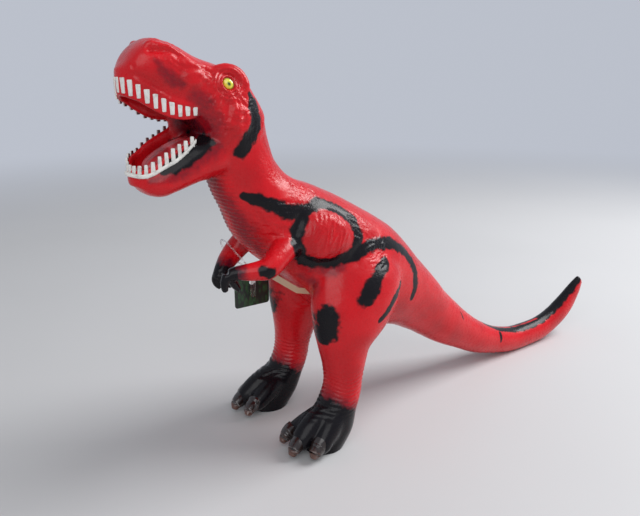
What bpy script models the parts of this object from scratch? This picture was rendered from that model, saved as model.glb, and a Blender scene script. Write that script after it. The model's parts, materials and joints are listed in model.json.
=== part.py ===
"""A soft vinyl toy dinosaur: hollow skins with stuffing, a sound unit in the belly and a hang tag.

Metres, +Z up. The nose points to -X and the tail to +X, the figure's left side is -Y, and the origin
is on the floor below the middle of the figure. Shapes of the body are shares of the figure's length.
Run it with blender --background --python part.py, or from Blender's text editor.
"""

import math

import bmesh
import bpy
from mathutils import Matrix, Vector

# Overall sizes and clearances, in metres
figure_length = 0.450
skin_wall = 0.00556 * figure_length
clearance = 0.0003
stuffing_clearance = 0.0006
overrun = 0.00889 * figure_length
weld_distance = 0.00001
floor_margin_share = 0.07
floor_size_share = 1.5
pivot_mark_share = 0.02

# How finely the forms are faceted
body_sides = 18
lining_sides = 12
limb_sides = 10
jaw_sides = 12
claw_sides = 6
toe_sides = 8
tooth_sides = 4
ball_segments = 24
ball_rings = 12
round_sides = 16
small_sides = 8

# Body, from the neck to the tip of the tail. Each row is a cut through the body:
# back x, back z, belly x, belly z and half width.
body_shares = (
    (-0.293, 0.505, -0.371, 0.458, 0.047),
    (-0.284, 0.471, -0.378, 0.430, 0.049),
    (-0.272, 0.438, -0.370, 0.400, 0.051),
    (-0.249, 0.413, -0.356, 0.371, 0.058),
    (-0.213, 0.396, -0.341, 0.336, 0.067),
    (-0.169, 0.375, -0.313, 0.303, 0.075),
    (-0.129, 0.353, -0.274, 0.270, 0.080),
    (-0.093, 0.332, -0.236, 0.231, 0.082),
    (-0.062, 0.311, -0.196, 0.189, 0.080),
    (-0.036, 0.287, -0.142, 0.158, 0.071),
    (-0.013, 0.262, -0.089, 0.144, 0.062),
    (0.011, 0.238, -0.049, 0.133, 0.054),
    (0.040, 0.209, -0.013, 0.116, 0.047),
    (0.073, 0.173, 0.027, 0.093, 0.041),
    (0.111, 0.138, 0.071, 0.067, 0.037),
    (0.149, 0.107, 0.116, 0.046, 0.032),
    (0.187, 0.082, 0.164, 0.024, 0.029),
    (0.229, 0.062, 0.218, 0.009, 0.026),
    (0.273, 0.050, 0.271, -0.001, 0.024),
    (0.320, 0.047, 0.324, -0.001, 0.022),
    (0.364, 0.051, 0.376, 0.003, 0.020),
    (0.402, 0.064, 0.422, 0.020, 0.018),
    (0.433, 0.082, 0.460, 0.044, 0.016),
    (0.464, 0.104, 0.484, 0.076, 0.012),
    (0.487, 0.120, 0.498, 0.102, 0.006),
)
body_squareness_share = 2.1
neck_rows = slice(0, 6)
torso_rows = slice(1, 14)
tail_rows = slice(10, 20)
tail_tip_rows = slice(17, 25)

# Skull, from the nose back into the neck, in the same form
skull_shares = (
    (-0.493, 0.573, -0.495, 0.562, 0.013),
    (-0.484, 0.590, -0.490, 0.556, 0.025),
    (-0.469, 0.600, -0.479, 0.550, 0.034),
    (-0.447, 0.602, -0.460, 0.539, 0.039),
    (-0.421, 0.594, -0.438, 0.527, 0.042),
    (-0.396, 0.580, -0.416, 0.514, 0.046),
    (-0.369, 0.571, -0.398, 0.493, 0.050),
    (-0.340, 0.562, -0.380, 0.464, 0.054),
    (-0.316, 0.541, -0.367, 0.436, 0.053),
    (-0.295, 0.509, -0.356, 0.418, 0.047),
)
skull_squareness_share = 2.6
skull_lining_rows = slice(2, 10)

# Brow ridge over each eye: x, y, z and the half sizes along the three axes
brow_place_shares = (-0.358, 0.034, 0.561)
brow_size_shares = (0.026, 0.012, 0.014)

# Lower jaw, from the chin back into the throat
jaw_shares = (
    (-0.489, 0.436, -0.491, 0.422, 0.018),
    (-0.478, 0.439, -0.479, 0.410, 0.030),
    (-0.458, 0.444, -0.458, 0.406, 0.038),
    (-0.436, 0.457, -0.436, 0.409, 0.041),
    (-0.416, 0.471, -0.413, 0.416, 0.043),
    (-0.396, 0.480, -0.391, 0.422, 0.047),
    (-0.373, 0.476, -0.369, 0.431, 0.047),
)
jaw_squareness_share = 2.8
tongue_place_shares = (-0.430, 0.0, 0.456)
tongue_size_shares = (0.040, 0.022, 0.016)
tongue_tilt = math.radians(24.0)

# Teeth of one side: how many, their length and radius, and the rows that they follow
upper_tooth_count = 9
upper_tooth_share = 0.021
upper_tooth_rows = slice(0, 5)
lower_tooth_count = 8
lower_tooth_share = 0.016
lower_tooth_rows = slice(0, 5)
tooth_radius_share = 0.0040
tooth_tip_share = 0.45
tooth_shortening_share = 0.35
tooth_root_share = 0.5
lip_angle = math.radians(58.0)

# Arms: x, y, z and radius along each arm, on the left side for both
left_arm_shares = (
    (-0.280, 0.056, 0.318, 0.020),
    (-0.296, 0.073, 0.308, 0.019),
    (-0.316, 0.079, 0.298, 0.017),
    (-0.338, 0.076, 0.293, 0.014),
    (-0.358, 0.068, 0.291, 0.012),
    (-0.373, 0.061, 0.287, 0.012),
    (-0.384, 0.057, 0.280, 0.009),
)
right_arm_shares = (
    (-0.280, 0.056, 0.318, 0.020),
    (-0.293, 0.073, 0.306, 0.019),
    (-0.309, 0.078, 0.291, 0.017),
    (-0.324, 0.072, 0.278, 0.014),
    (-0.338, 0.064, 0.264, 0.012),
    (-0.348, 0.058, 0.256, 0.012),
    (-0.354, 0.054, 0.248, 0.009),
)
finger_length_share = 0.018
finger_radius_share = 0.0065
finger_spread_share = 0.007
finger_tip_share = 0.25
left_finger_drop = math.radians(62.0)
right_finger_drop = math.radians(78.0)

# Leg, from the hip down to the sole: front x, front z, rear x, rear z, centre y and half width
leg_shares = (
    (-0.209, 0.311, -0.107, 0.298, 0.053, 0.022),
    (-0.236, 0.271, -0.084, 0.253, 0.060, 0.040),
    (-0.249, 0.224, -0.096, 0.211, 0.066, 0.046),
    (-0.252, 0.187, -0.122, 0.178, 0.070, 0.044),
    (-0.248, 0.156, -0.151, 0.153, 0.073, 0.039),
    (-0.239, 0.127, -0.163, 0.127, 0.077, 0.033),
    (-0.234, 0.102, -0.170, 0.104, 0.079, 0.030),
    (-0.240, 0.080, -0.167, 0.084, 0.079, 0.030),
    (-0.258, 0.056, -0.170, 0.056, 0.079, 0.032),
    (-0.271, 0.027, -0.182, 0.024, 0.080, 0.033),
    (-0.276, -0.004, -0.205, -0.004, 0.080, 0.028),
)
leg_lining_rows = slice(0, 9)
right_foot_shift_shares = (-0.010, 0.0)
toe_shares = (
    (
        (-0.222, 0.089, 0.056, 0.021),
        (-0.244, 0.098, 0.044, 0.020),
        (-0.260, 0.106, 0.028, 0.016),
        (-0.268, 0.110, 0.018, 0.012),
        (-0.273, 0.112, 0.011, 0.006),
        (-0.278, 0.114, 0.005, 0.002),
    ),
    (
        (-0.231, 0.080, 0.058, 0.021),
        (-0.260, 0.081, 0.047, 0.020),
        (-0.280, 0.083, 0.030, 0.017),
        (-0.290, 0.085, 0.019, 0.012),
        (-0.297, 0.087, 0.012, 0.007),
        (-0.302, 0.087, 0.006, 0.002),
    ),
    (
        (-0.227, 0.071, 0.058, 0.021),
        (-0.258, 0.063, 0.047, 0.020),
        (-0.277, 0.057, 0.031, 0.016),
        (-0.286, 0.054, 0.021, 0.012),
        (-0.293, 0.052, 0.014, 0.006),
        (-0.298, 0.051, 0.008, 0.002),
    ),
)

# Where the jaw bends, and the round seams where one part turns inside the next: place and radius
jaw_pivot_shares = (-0.378, 0.0, 0.480)
neck_seam_shares = (-0.320, 0.0, 0.422)
neck_seam_radius_share = 0.071
tail_seam_shares = (0.013, 0.0, 0.162)
tail_seam_radius_share = 0.060
tip_seam_shares = (0.272, 0.0, 0.025)
tip_seam_radius_share = 0.0305
shoulder_shares = (-0.280, 0.056, 0.318)
shoulder_radius_share = 0.023
neck_seam_reach_share = 0.20
tail_seam_reach_share = 0.33
tail_seam_flare_share = 1.25
tip_seam_reach_share = 0.30
tip_seam_flare_share = 6.0
pole_gap_share = 0.35

# The push-in collar that holds each leg in the body
hip_shares = (-0.162, 0.256)
collar_radius_share = 0.026
collar_bore_share = 0.018
flange_radius_share = 0.030
flange_thickness = 0.004 * figure_length
collar_inner_share = 0.051
collar_outer_share = 0.085
bore_overrun = 0.00444 * figure_length

# The oval belly patch that closes the stuffing hole
patch_shares = (-0.222, 0.216)
patch_slope = math.radians(42.0)
patch_half_length = 0.05222 * figure_length
patch_half_width = 0.03778 * figure_length
patch_depth = 0.04444 * figure_length

# Sound unit: a round case standing upright in the belly, its axis along Y
unit_shares = (-0.154, 0.241)
unit_offset_y = -0.00933 * figure_length
case_radius = 0.04667 * figure_length
case_wall = 0.00333 * figure_length
case_width = 0.05111 * figure_length
lid_thickness = 0.00333 * figure_length
lid_spigot_depth = 0.00267 * figure_length
lid_spigot_width = 0.00267 * figure_length

cell_radius = 0.01289 * figure_length
cell_count = 3
cell_rim_share = 0.12
cell_distance = 0.02667 * figure_length
cell_angle = math.radians(232.9)
contact_radius = 0.00933 * figure_length
contact_thickness = 0.00089 * figure_length
contact_gap = 0.00222 * figure_length
contact_spring = 0.002 * figure_length

door_radius = 0.016 * figure_length
door_thickness = 0.00333 * figure_length
door_lip = 0.00222 * figure_length
door_ear_radius = 0.00622 * figure_length
door_ear_thickness = 0.00244 * figure_length
door_ear_distance = 0.02222 * figure_length
door_ear_angle = math.radians(52.0)

speaker_radius = 0.02333 * figure_length
speaker_depth = 0.01156 * figure_length
speaker_distance = 0.01556 * figure_length
speaker_angle = math.radians(45.0)
speaker_rim = 0.00489 * figure_length
speaker_plate = 0.00222 * figure_length
magnet_radius = 0.01222 * figure_length
magnet_depth = 0.008 * figure_length
cone_edge = 0.00133 * figure_length
grille_hole_radius = 0.002 * figure_length
grille_ring_radius = 0.01111 * figure_length
grille_hole_count = 8

board_length = 0.03333 * figure_length
board_height = 0.02 * figure_length
board_thickness = 0.00222 * figure_length
board_distance = 0.02044 * figure_length
board_angle = math.radians(119.4)
board_depth = 0.02 * figure_length
chip_radius = 0.00578 * figure_length
chip_top_share = 0.6
chip_height = 0.00311 * figure_length

button_radius = 0.00889 * figure_length
button_flange_radius = 0.01156 * figure_length
button_flange = 0.00222 * figure_length
button_stand = 0.00533 * figure_length
spring_wire = 0.00067 * figure_length
spring_radius = 0.00578 * figure_length
spring_turns = 4
spring_points = 9

screw_head_radius = 0.00422 * figure_length
screw_head_height = 0.00222 * figure_length
screw_shank_radius = 0.002 * figure_length
screw_length = 0.01556 * figure_length
boss_radius = 0.00533 * figure_length
boss_distance = 0.03778 * figure_length
boss_angles = (math.radians(100.0), math.radians(180.0), math.radians(300.0))

lead_radius = 0.00111 * figure_length
lead_spacing = 0.00667 * figure_length
lead_points = 9
lead_board_share = 0.36
lead_speaker_angle = math.radians(150.0)

# Battery pull tab: a thin strip from the cells out through the edge of the belly patch
tab_slope = math.radians(14.8)
tab_bend = math.radians(21.2)
tab_width = 0.00889 * figure_length
tab_thickness = 0.00067 * figure_length
tab_inner_length = 0.09533 * figure_length
tab_outer_length = 0.05778 * figure_length
tab_end_share = 0.4
tab_slot_margin = 0.00178 * figure_length

# Hang tag and the loop that holds it on the right arm
tag_width = 0.06 * figure_length
tag_height = 0.04889 * figure_length
tag_thickness = 0.00133 * figure_length
tag_corner = 0.00444 * figure_length
tag_corner_steps = 3
tag_hole_radius = 0.00444 * figure_length
tag_hole_inset = 0.01 * figure_length
tag_shares = (-0.293, 0.041, 0.229)
loop_wire = 0.00133 * figure_length
loop_points = 28
loop_top_shares = (-0.311, 0.078, 0.287)
loop_slack = 0.00311 * figure_length
loop_hook_share = 0.8
tongue_length = 0.03333 * figure_length
tongue_width = 0.00756 * figure_length
tongue_thickness = 0.00178 * figure_length

# Colours: base colour, roughness, metallic
finishes = {
    "red_vinyl": ((0.68, 0.02, 0.03), 0.35, 0.0),
    "stuffing": ((0.90, 0.90, 0.88), 0.95, 0.0),
    "case_plastic": ((0.85, 0.85, 0.82), 0.45, 0.0),
    "black_plastic": ((0.04, 0.04, 0.04), 0.50, 0.0),
    "circuit_green": ((0.05, 0.30, 0.12), 0.50, 0.0),
    "steel": ((0.65, 0.65, 0.65), 0.25, 1.0),
    "magnet": ((0.25, 0.25, 0.26), 0.40, 1.0),
    "paper_cone": ((0.10, 0.09, 0.08), 0.85, 0.0),
    "red_wire": ((0.60, 0.05, 0.04), 0.50, 0.0),
    "black_wire": ((0.03, 0.03, 0.03), 0.50, 0.0),
    "white_plastic": ((0.90, 0.90, 0.90), 0.40, 0.0),
    "clear_film": ((0.80, 0.72, 0.60), 0.30, 0.0),
    "printed_card": ((0.10, 0.28, 0.14), 0.55, 0.0),
}

LEFT = -1.0
RIGHT = 1.0
AXIS_X = Vector((1.0, 0.0, 0.0))
AXIS_Y = Vector((0.0, 1.0, 0.0))
AXIS_Z = Vector((0.0, 0.0, 1.0))

# Values that follow from the sizes above
parts = None
cutters = None
materials = {}
unit_centre = Vector((unit_shares[0] * figure_length, unit_offset_y, unit_shares[1] * figure_length))
near_face = unit_offset_y - case_width / 2.0
far_face = unit_offset_y + case_width / 2.0
cell_room = case_width - case_wall - lid_thickness - contact_thickness - contact_gap - contact_spring
cell_height = (cell_room - 2.0 * clearance) / cell_count - clearance


# Scene and materials

def clear_scene():
    for item in list(bpy.data.objects):
        bpy.data.objects.remove(item, do_unlink=True)


def new_collection(name):
    collection = bpy.data.collections.new(name)
    bpy.context.scene.collection.children.link(collection)
    return collection


def make_materials():
    for name, (colour, roughness, metallic) in finishes.items():
        material = bpy.data.materials.new(name)
        material.use_nodes = True
        shader = material.node_tree.nodes["Principled BSDF"]
        shader.inputs["Base Color"].default_value = (*colour, 1.0)
        shader.inputs["Roughness"].default_value = roughness
        shader.inputs["Metallic"].default_value = metallic
        materials[name] = material


def finish(item, name, material, sharp_angle=40.0):
    """Name the piece, give it its material and smooth shading, and file it with the parts."""
    item.name = name
    item.data.name = name
    item.data.materials.clear()
    item.data.materials.append(materials[material])
    item.data.shade_smooth()
    item.data.set_sharp_from_angle(angle=math.radians(sharp_angle))
    item.hide_render = False
    item.display_type = "TEXTURED"
    for collection in list(item.users_collection):
        collection.objects.unlink(item)
    parts.objects.link(item)
    return item


# Pivots

def world_place(item):
    place = Vector((0.0, 0.0, 0.0))
    while item is not None:
        place += item.location
        item = item.parent
    return place


def add_pivot(name, place, pieces, parent=None):
    """An empty on a joint's axis that carries the pieces which turn or slide there."""
    pivot = bpy.data.objects.new(name, None)
    pivot.empty_display_size = pivot_mark_share * figure_length
    pivot.parent = parent
    pivot.location = place - world_place(parent)
    parts.objects.link(pivot)
    for piece in pieces:
        piece.data.transform(Matrix.Translation(-place))
        piece.parent = pivot
    return pivot


# Meshes

def object_from(mesh_builder, name="shape"):
    mesh = bpy.data.meshes.new(name)
    mesh_builder.to_mesh(mesh)
    mesh_builder.free()
    item = bpy.data.objects.new(name, mesh)
    item.hide_render = True
    item.display_type = "WIRE"
    cutters.objects.link(item)
    return item


def combine(target, other, operation, keep_other=False):
    """Join, cut or intersect the target with another solid, and store the result in the target."""
    step = target.modifiers.new("combine", "BOOLEAN")
    step.operation = operation
    step.solver = "EXACT"
    step.object = other
    bpy.context.view_layer.update()
    evaluated = target.evaluated_get(bpy.context.evaluated_depsgraph_get())
    mesh = bpy.data.meshes.new_from_object(evaluated)
    old_mesh = target.data
    target.modifiers.clear()
    target.data = mesh
    bpy.data.meshes.remove(old_mesh)
    if not keep_other:
        bpy.data.objects.remove(other, do_unlink=True)
    return target


def join(target, *others):
    for other in others:
        combine(target, other, "UNION")
    return target


def cut(target, *others):
    for other in others:
        combine(target, other, "DIFFERENCE")
    return target


def keep_inside(target, other):
    return combine(target, other, "INTERSECT")


def ring_points(section, count, squareness, inset):
    """Points round one cut of a loft: a superellipse with its up and across half sizes."""
    centre, up, across = section
    up_size = max(up.length - inset, clearance)
    across_size = max(across.length - inset, clearance)
    points = []
    for index in range(count):
        angle = math.tau * (index + 0.5) / count
        cosine = math.cos(angle)
        sine = math.sin(angle)
        wide = math.copysign(abs(cosine) ** (2.0 / squareness), cosine)
        tall = math.copysign(abs(sine) ** (2.0 / squareness), sine)
        points.append(centre + across.normalized() * across_size * wide + up.normalized() * up_size * tall)
    return points


def trimmed_ends(sections, inset):
    """Move the first and last cut of a lining inwards, so that its ends keep the wall too."""
    moved = list(sections)
    if inset == 0.0:
        return moved
    for end, neighbour in ((0, 1), (-1, -2)):
        centre, up, across = moved[end]
        inward = (moved[neighbour][0] - centre).normalized() * inset
        moved[end] = (centre + inward, up, across)
    return moved


def loft(sections, count, squareness=2.0, inset=0.0):
    """A closed solid through a row of cuts, with a flat fan at each end."""
    builder = bmesh.new()
    rings = []
    for section in trimmed_ends(sections, inset):
        points = ring_points(section, count, squareness, inset)
        rings.append([builder.verts.new(point) for point in points])
    for ring, following in zip(rings, rings[1:]):
        for index in range(count):
            after = (index + 1) % count
            builder.faces.new((ring[index], ring[after], following[after], following[index]))
    for ring, step in ((rings[0], -1), (rings[-1], 1)):
        builder.faces.new(ring[::step])
    bmesh.ops.recalc_face_normals(builder, faces=builder.faces)
    return object_from(builder)


def refined(sections, steps=2):
    """More cuts between those given, along a smooth curve through them."""
    result = []
    last = len(sections) - 1
    for index in range(last):
        before = sections[max(index - 1, 0)]
        start = sections[index]
        end = sections[index + 1]
        after = sections[min(index + 2, last)]
        for step in range(steps):
            t = step / steps
            row = []
            for a, b, c, d in zip(before, start, end, after):
                curve = 2.0 * b + (c - a) * t + (2.0 * a - 5.0 * b + 4.0 * c - d) * t * t
                row.append((curve + (3.0 * b - a - 3.0 * c + d) * t ** 3) / 2.0)
            result.append(tuple(row))
    result.append(sections[last])
    return result


def profile_sections(shares):
    """Cuts given by a back point, a belly point and a half width in the middle plane."""
    sections = []
    for back_x, back_z, belly_x, belly_z, half_width in shares:
        back = Vector((back_x, 0.0, back_z)) * figure_length
        belly = Vector((belly_x, 0.0, belly_z)) * figure_length
        sections.append(((back + belly) / 2.0, (back - belly) / 2.0, AXIS_Y * half_width * figure_length))
    return sections


def foot_shift(side, height_share):
    """How far the right leg stands ahead of the left: nothing at the hip, all of it at the sole."""
    if side == LEFT:
        return Vector((0.0, 0.0, 0.0))
    fade = max(1.0 - height_share / hip_shares[1], 0.0)
    return Vector((right_foot_shift_shares[0], right_foot_shift_shares[1], 0.0)) * fade * figure_length


def leg_sections(side):
    sections = []
    for front_x, front_z, rear_x, rear_z, centre_y, half_width in leg_shares:
        shift = foot_shift(side, (front_z + rear_z) / 2.0)
        front = Vector((front_x, side * centre_y, front_z)) * figure_length + shift
        rear = Vector((rear_x, side * centre_y, rear_z)) * figure_length + shift
        sections.append(((front + rear) / 2.0, (rear - front) / 2.0, AXIS_Y * half_width * figure_length))
    return sections


def limb_sections(shares, side, shift=Vector((0.0, 0.0, 0.0))):
    """Round cuts along a path of points, each square to the path."""
    centres = [Vector((x, side * y, z)) * figure_length + shift for x, y, z, radius in shares]
    sections = []
    for index, centre in enumerate(centres):
        before = centres[max(index - 1, 0)]
        after = centres[min(index + 1, len(centres) - 1)]
        direction = (after - before).normalized()
        across = direction.cross(AXIS_Z).normalized()
        up = across.cross(direction).normalized()
        radius = shares[index][3] * figure_length
        sections.append((centre, up * radius, across * radius))
    return sections


def scaled_place(shares, side=1.0):
    return Vector((shares[0], side * shares[1], shares[2])) * figure_length


def capsule(centre, direction, radius, reach, flare=1.0):
    """A round-ended bar from a half ball at its centre out along its direction, flaring if asked."""
    axis = direction.normalized()
    across = axis.cross(AXIS_Z if abs(axis.z) < abs(axis.x) else AXIS_X).normalized()
    up = across.cross(axis).normalized()
    sections = []
    quarter = ball_rings // 2
    for index in range(quarter):
        angle = math.pi / 2.0 * (1.0 - (index + pole_gap_share) / (quarter + pole_gap_share))
        ring = radius * math.cos(angle)
        sections.append((centre - axis * radius * math.sin(angle), up * ring, across * ring))
    sections.append((centre, up * radius, across * radius))
    sections.append((centre + axis * reach, up * radius * flare, across * radius * flare))
    return loft(sections, ball_segments)


def round_allowance(radius, segments=ball_segments, rings=ball_rings):
    """Radius of a faceted socket that clears a ball in every turned position."""
    facet = math.cos(math.pi / segments) * math.cos(math.pi / (2.0 * rings))
    return (radius + clearance) / facet


def ball(centre, radius):
    builder = bmesh.new()
    bmesh.ops.create_uvsphere(builder, u_segments=round_sides, v_segments=small_sides, radius=radius)
    bmesh.ops.translate(builder, verts=builder.verts, vec=centre)
    return object_from(builder)


def ellipsoid(centre, half_sizes, tilt=0.0):
    builder = bmesh.new()
    bmesh.ops.create_uvsphere(builder, u_segments=limb_sides, v_segments=limb_sides // 2, radius=1.0)
    place = Matrix.Translation(centre) @ Matrix.Rotation(tilt, 4, "Y") @ Matrix.Diagonal((*half_sizes, 1.0))
    bmesh.ops.transform(builder, matrix=place, verts=builder.verts)
    return object_from(builder)


def axis_matrix(start, direction):
    return Matrix.Translation(start) @ direction.to_track_quat("Z", "Y").to_matrix().to_4x4()


def bar(start, direction, length, radius, end_radius=None, sides=round_sides):
    """A round bar or cone from its start along a direction."""
    builder = bmesh.new()
    tip = radius if end_radius is None else end_radius
    bmesh.ops.create_cone(builder, cap_ends=True, segments=sides, radius1=radius, radius2=tip, depth=length)
    place = axis_matrix(start + direction.normalized() * length / 2.0, direction)
    bmesh.ops.transform(builder, matrix=place, verts=builder.verts)
    return object_from(builder)


def box(centre, sizes, rotation=None):
    builder = bmesh.new()
    bmesh.ops.create_cube(builder, size=1.0)
    turn = Matrix.Identity(4) if rotation is None else rotation
    place = Matrix.Translation(centre) @ turn @ Matrix.Diagonal((*sizes, 1.0))
    bmesh.ops.transform(builder, matrix=place, verts=builder.verts)
    return object_from(builder)


def floor_cutter():
    size = figure_length * floor_size_share
    depth = figure_length * floor_margin_share
    return box(Vector((0.0, 0.0, -depth / 2.0)), (size, size, depth))


def solid_curve(points, radius, cyclic=False, resolution=2):
    """A round wire along a list of points, as a welded closed mesh."""
    curve = bpy.data.curves.new("wire", "CURVE")
    curve.dimensions = "3D"
    curve.bevel_depth = radius
    curve.bevel_resolution = resolution
    curve.use_fill_caps = True
    spline = curve.splines.new("POLY")
    spline.points.add(len(points) - 1)
    for spline_point, point in zip(spline.points, points):
        spline_point.co = (*point, 1.0)
    spline.use_cyclic_u = cyclic
    guide = bpy.data.objects.new("wire", curve)
    cutters.objects.link(guide)
    bpy.context.view_layer.update()
    evaluated = guide.evaluated_get(bpy.context.evaluated_depsgraph_get())
    builder = bmesh.new()
    builder.from_mesh(bpy.data.meshes.new_from_object(evaluated))
    bpy.data.objects.remove(guide, do_unlink=True)
    bmesh.ops.remove_doubles(builder, verts=builder.verts, dist=weld_distance)
    bmesh.ops.recalc_face_normals(builder, faces=builder.faces)
    return object_from(builder)


# The round seams and the pieces cut at them

def direction_between(sections, first, second):
    return (sections[second][0] - sections[first][0]).normalized()


def neck_capsule(radius):
    body = profile_sections(body_shares)
    reach = neck_seam_reach_share * figure_length
    return capsule(scaled_place(neck_seam_shares), direction_between(body, 4, 1), radius, reach)


def tail_capsule(radius):
    body = profile_sections(body_shares)
    reach = tail_seam_reach_share * figure_length
    direction = direction_between(body, 10, 13)
    return capsule(scaled_place(tail_seam_shares), direction, radius, reach, tail_seam_flare_share)


def tip_capsule(radius):
    body = profile_sections(body_shares)
    reach = tip_seam_reach_share * figure_length
    direction = direction_between(body, 17, 19)
    return capsule(scaled_place(tip_seam_shares), direction, radius, reach, tip_seam_flare_share)


def body_loft(rows, count, inset=0.0, steps=2):
    sections = refined(profile_sections(body_shares)[rows], steps)
    return loft(sections, count, body_squareness_share, inset)


def shoulder_ball(side):
    return ball(scaled_place(shoulder_shares, side), shoulder_radius_share * figure_length)


def shoulder_socket(side):
    radius = round_allowance(shoulder_radius_share * figure_length, round_sides, small_sides)
    return ball(scaled_place(shoulder_shares, side), radius)


def module_pocket():
    """Room in the stuffing for the sound unit, open towards the belly patch."""
    radius = case_radius + 2.0 * clearance
    near = near_face - button_stand - 2.0 * clearance
    far = far_face + door_thickness + screw_head_height + 3.0 * clearance
    down = patch_direction()
    start = math.atan2(down.z, down.x) + math.pi / 2.0
    middle = Vector((unit_centre.x, (near + far) / 2.0, unit_centre.z))
    outline = []
    for index in range(round_sides + 1):
        angle = start + math.pi * index / round_sides
        outline.append(middle + Vector((math.cos(angle), 0.0, math.sin(angle))) * radius)
    outline.append(outline[-1] + down * (case_radius + patch_depth))
    outline.append(outline[0] + down * (case_radius + patch_depth))
    return flat_piece(outline, AXIS_Y * (far - near))


def patch_direction():
    """Out of the belly, square to the patch."""
    return Vector((-math.sin(patch_slope), 0.0, -math.cos(patch_slope)))


def patch_prism(grow):
    """An oval bar through the belly skin at the patch."""
    builder = bmesh.new()
    depth = 2.0 * patch_depth
    bmesh.ops.create_cone(builder, cap_ends=True, segments=round_sides, radius1=1.0, radius2=1.0, depth=1.0)
    centre = Vector((patch_shares[0], 0.0, patch_shares[1])) * figure_length
    turn = Matrix.Rotation(patch_slope, 4, "Y")
    sizes = (patch_half_length + grow, patch_half_width + grow, depth, 1.0)
    place = Matrix.Translation(centre) @ turn @ Matrix.Diagonal(sizes)
    bmesh.ops.transform(builder, matrix=place, verts=builder.verts)
    return object_from(builder)


def collar_bar(side, radius, inner_share, outer_share, grow_ends=0.0):
    """A bar across the hip, along Y, between two distances from the middle plane."""
    inner = inner_share * figure_length - grow_ends
    outer = outer_share * figure_length + grow_ends
    start = Vector((hip_shares[0] * figure_length, side * inner, hip_shares[1] * figure_length))
    return bar(start, AXIS_Y * side, outer - inner, radius)


# Skins

def make_torso():
    skin = body_loft(torso_rows, body_sides)
    cut(skin, neck_capsule(round_allowance(neck_seam_radius_share * figure_length)))
    cut(skin, tail_capsule(round_allowance(tail_seam_radius_share * figure_length)))
    cut(skin, body_loft(torso_rows, lining_sides, skin_wall, 1))
    for side in (LEFT, RIGHT):
        cut(skin, shoulder_socket(side))
        hole_radius = collar_radius_share * figure_length + clearance
        cut(skin, collar_bar(side, hole_radius, collar_inner_share, collar_outer_share))
    cut(skin, patch_prism(clearance), tab_slot())
    return finish(skin, "torso_skin", "red_vinyl")


def make_belly_patch():
    patch = body_loft(torso_rows, body_sides)
    cut(patch, body_loft(torso_rows, lining_sides, skin_wall, 1))
    keep_inside(patch, patch_prism(0.0))
    cut(patch, tab_slot())
    return finish(patch, "belly_patch", "red_vinyl")


def make_torso_stuffing():
    inset = skin_wall + stuffing_clearance
    filling = body_loft(torso_rows, lining_sides, inset, 1)
    cut(filling, neck_capsule(round_allowance(neck_seam_radius_share * figure_length)))
    cut(filling, tail_capsule(round_allowance(tail_seam_radius_share * figure_length)))
    cut(filling, module_pocket(), tab_slot())
    for side in (LEFT, RIGHT):
        cut(filling, shoulder_socket(side))
        flange = flange_radius_share * figure_length + clearance
        cut(filling, collar_bar(side, flange, collar_inner_share, collar_outer_share, clearance))
    return finish(filling, "torso_stuffing", "stuffing")


def skull_loft(count, inset=0.0, steps=2, rows=slice(0, None)):
    sections = profile_sections(skull_shares)[rows]
    return loft(refined(sections, steps), count, skull_squareness_share, inset)


def brow(side):
    return ellipsoid(scaled_place(brow_place_shares, side), Vector(brow_size_shares) * figure_length)


def neck_piece(count, inset, steps, radius):
    piece = body_loft(neck_rows, count, inset, steps)
    return keep_inside(piece, neck_capsule(radius))


def tooth_places(sections, rows, count, up_sign, squareness):
    """Roots of one side's teeth, evenly spaced along the lip from the front of the mouth back."""
    line = []
    for centre, up, across in sections[rows]:
        tall = math.sin(lip_angle) ** (2.0 / squareness)
        wide = math.cos(lip_angle) ** (2.0 / squareness)
        line.append((centre + up * up_sign * tall, across * wide, up * up_sign))
    line.insert(0, (line[0][0], line[0][1] * 0.0, line[0][2]))
    distances = [0.0]
    for first, second in zip(line, line[1:]):
        distances.append(distances[-1] + (second[0] + second[1] - first[0] - first[1]).length)
    places = []
    for index in range(count):
        target = distances[-1] * (index + 0.5) / count
        for span in range(len(line) - 1):
            if distances[span] <= target <= distances[span + 1]:
                t = (target - distances[span]) / (distances[span + 1] - distances[span])
                place = line[span][0].lerp(line[span + 1][0], t)
                spread = line[span][1].lerp(line[span + 1][1], t)
                direction = line[span][2].lerp(line[span + 1][2], t).normalized()
                places.append((place, spread, direction))
    return places


def make_teeth(sections, rows, count, length_share, up_sign, squareness):
    """Both sides' teeth as one mesh of separate cones, ready to be joined to a gum."""
    radius = tooth_radius_share * figure_length
    root = length_share * figure_length * tooth_root_share
    builder = bmesh.new()
    places = tooth_places(sections, rows, count, up_sign, squareness)
    for index, (place, spread, direction) in enumerate(places):
        shortening = 1.0 - tooth_shortening_share * index / count
        length = length_share * figure_length * shortening + root
        for side in (LEFT, RIGHT):
            start = place + spread * side - direction * root
            matrix = axis_matrix(start + direction * length / 2.0, direction)
            bmesh.ops.create_cone(builder, cap_ends=True, segments=tooth_sides, radius1=radius,
                                  radius2=radius * tooth_tip_share, depth=length, matrix=matrix)
    return object_from(builder)


def make_head():
    radius = neck_seam_radius_share * figure_length
    head = skull_loft(body_sides)
    teeth = make_teeth(profile_sections(skull_shares), upper_tooth_rows, upper_tooth_count,
                       upper_tooth_share, -1.0, skull_squareness_share)
    join(head, teeth, neck_piece(body_sides, 0.0, 2, radius), brow(LEFT), brow(RIGHT))
    cut(head, skull_loft(lining_sides, skin_wall, 1, skull_lining_rows))
    cut(head, body_loft(neck_rows, lining_sides, skin_wall, 1))
    return finish(head, "head_skin", "red_vinyl")


def make_head_stuffing():
    inset = skin_wall + stuffing_clearance
    radius = neck_seam_radius_share * figure_length
    filling = skull_loft(lining_sides, inset, 1, skull_lining_rows)
    join(filling, neck_piece(lining_sides, inset, 1, radius))
    return finish(filling, "head_stuffing", "stuffing")


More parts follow.
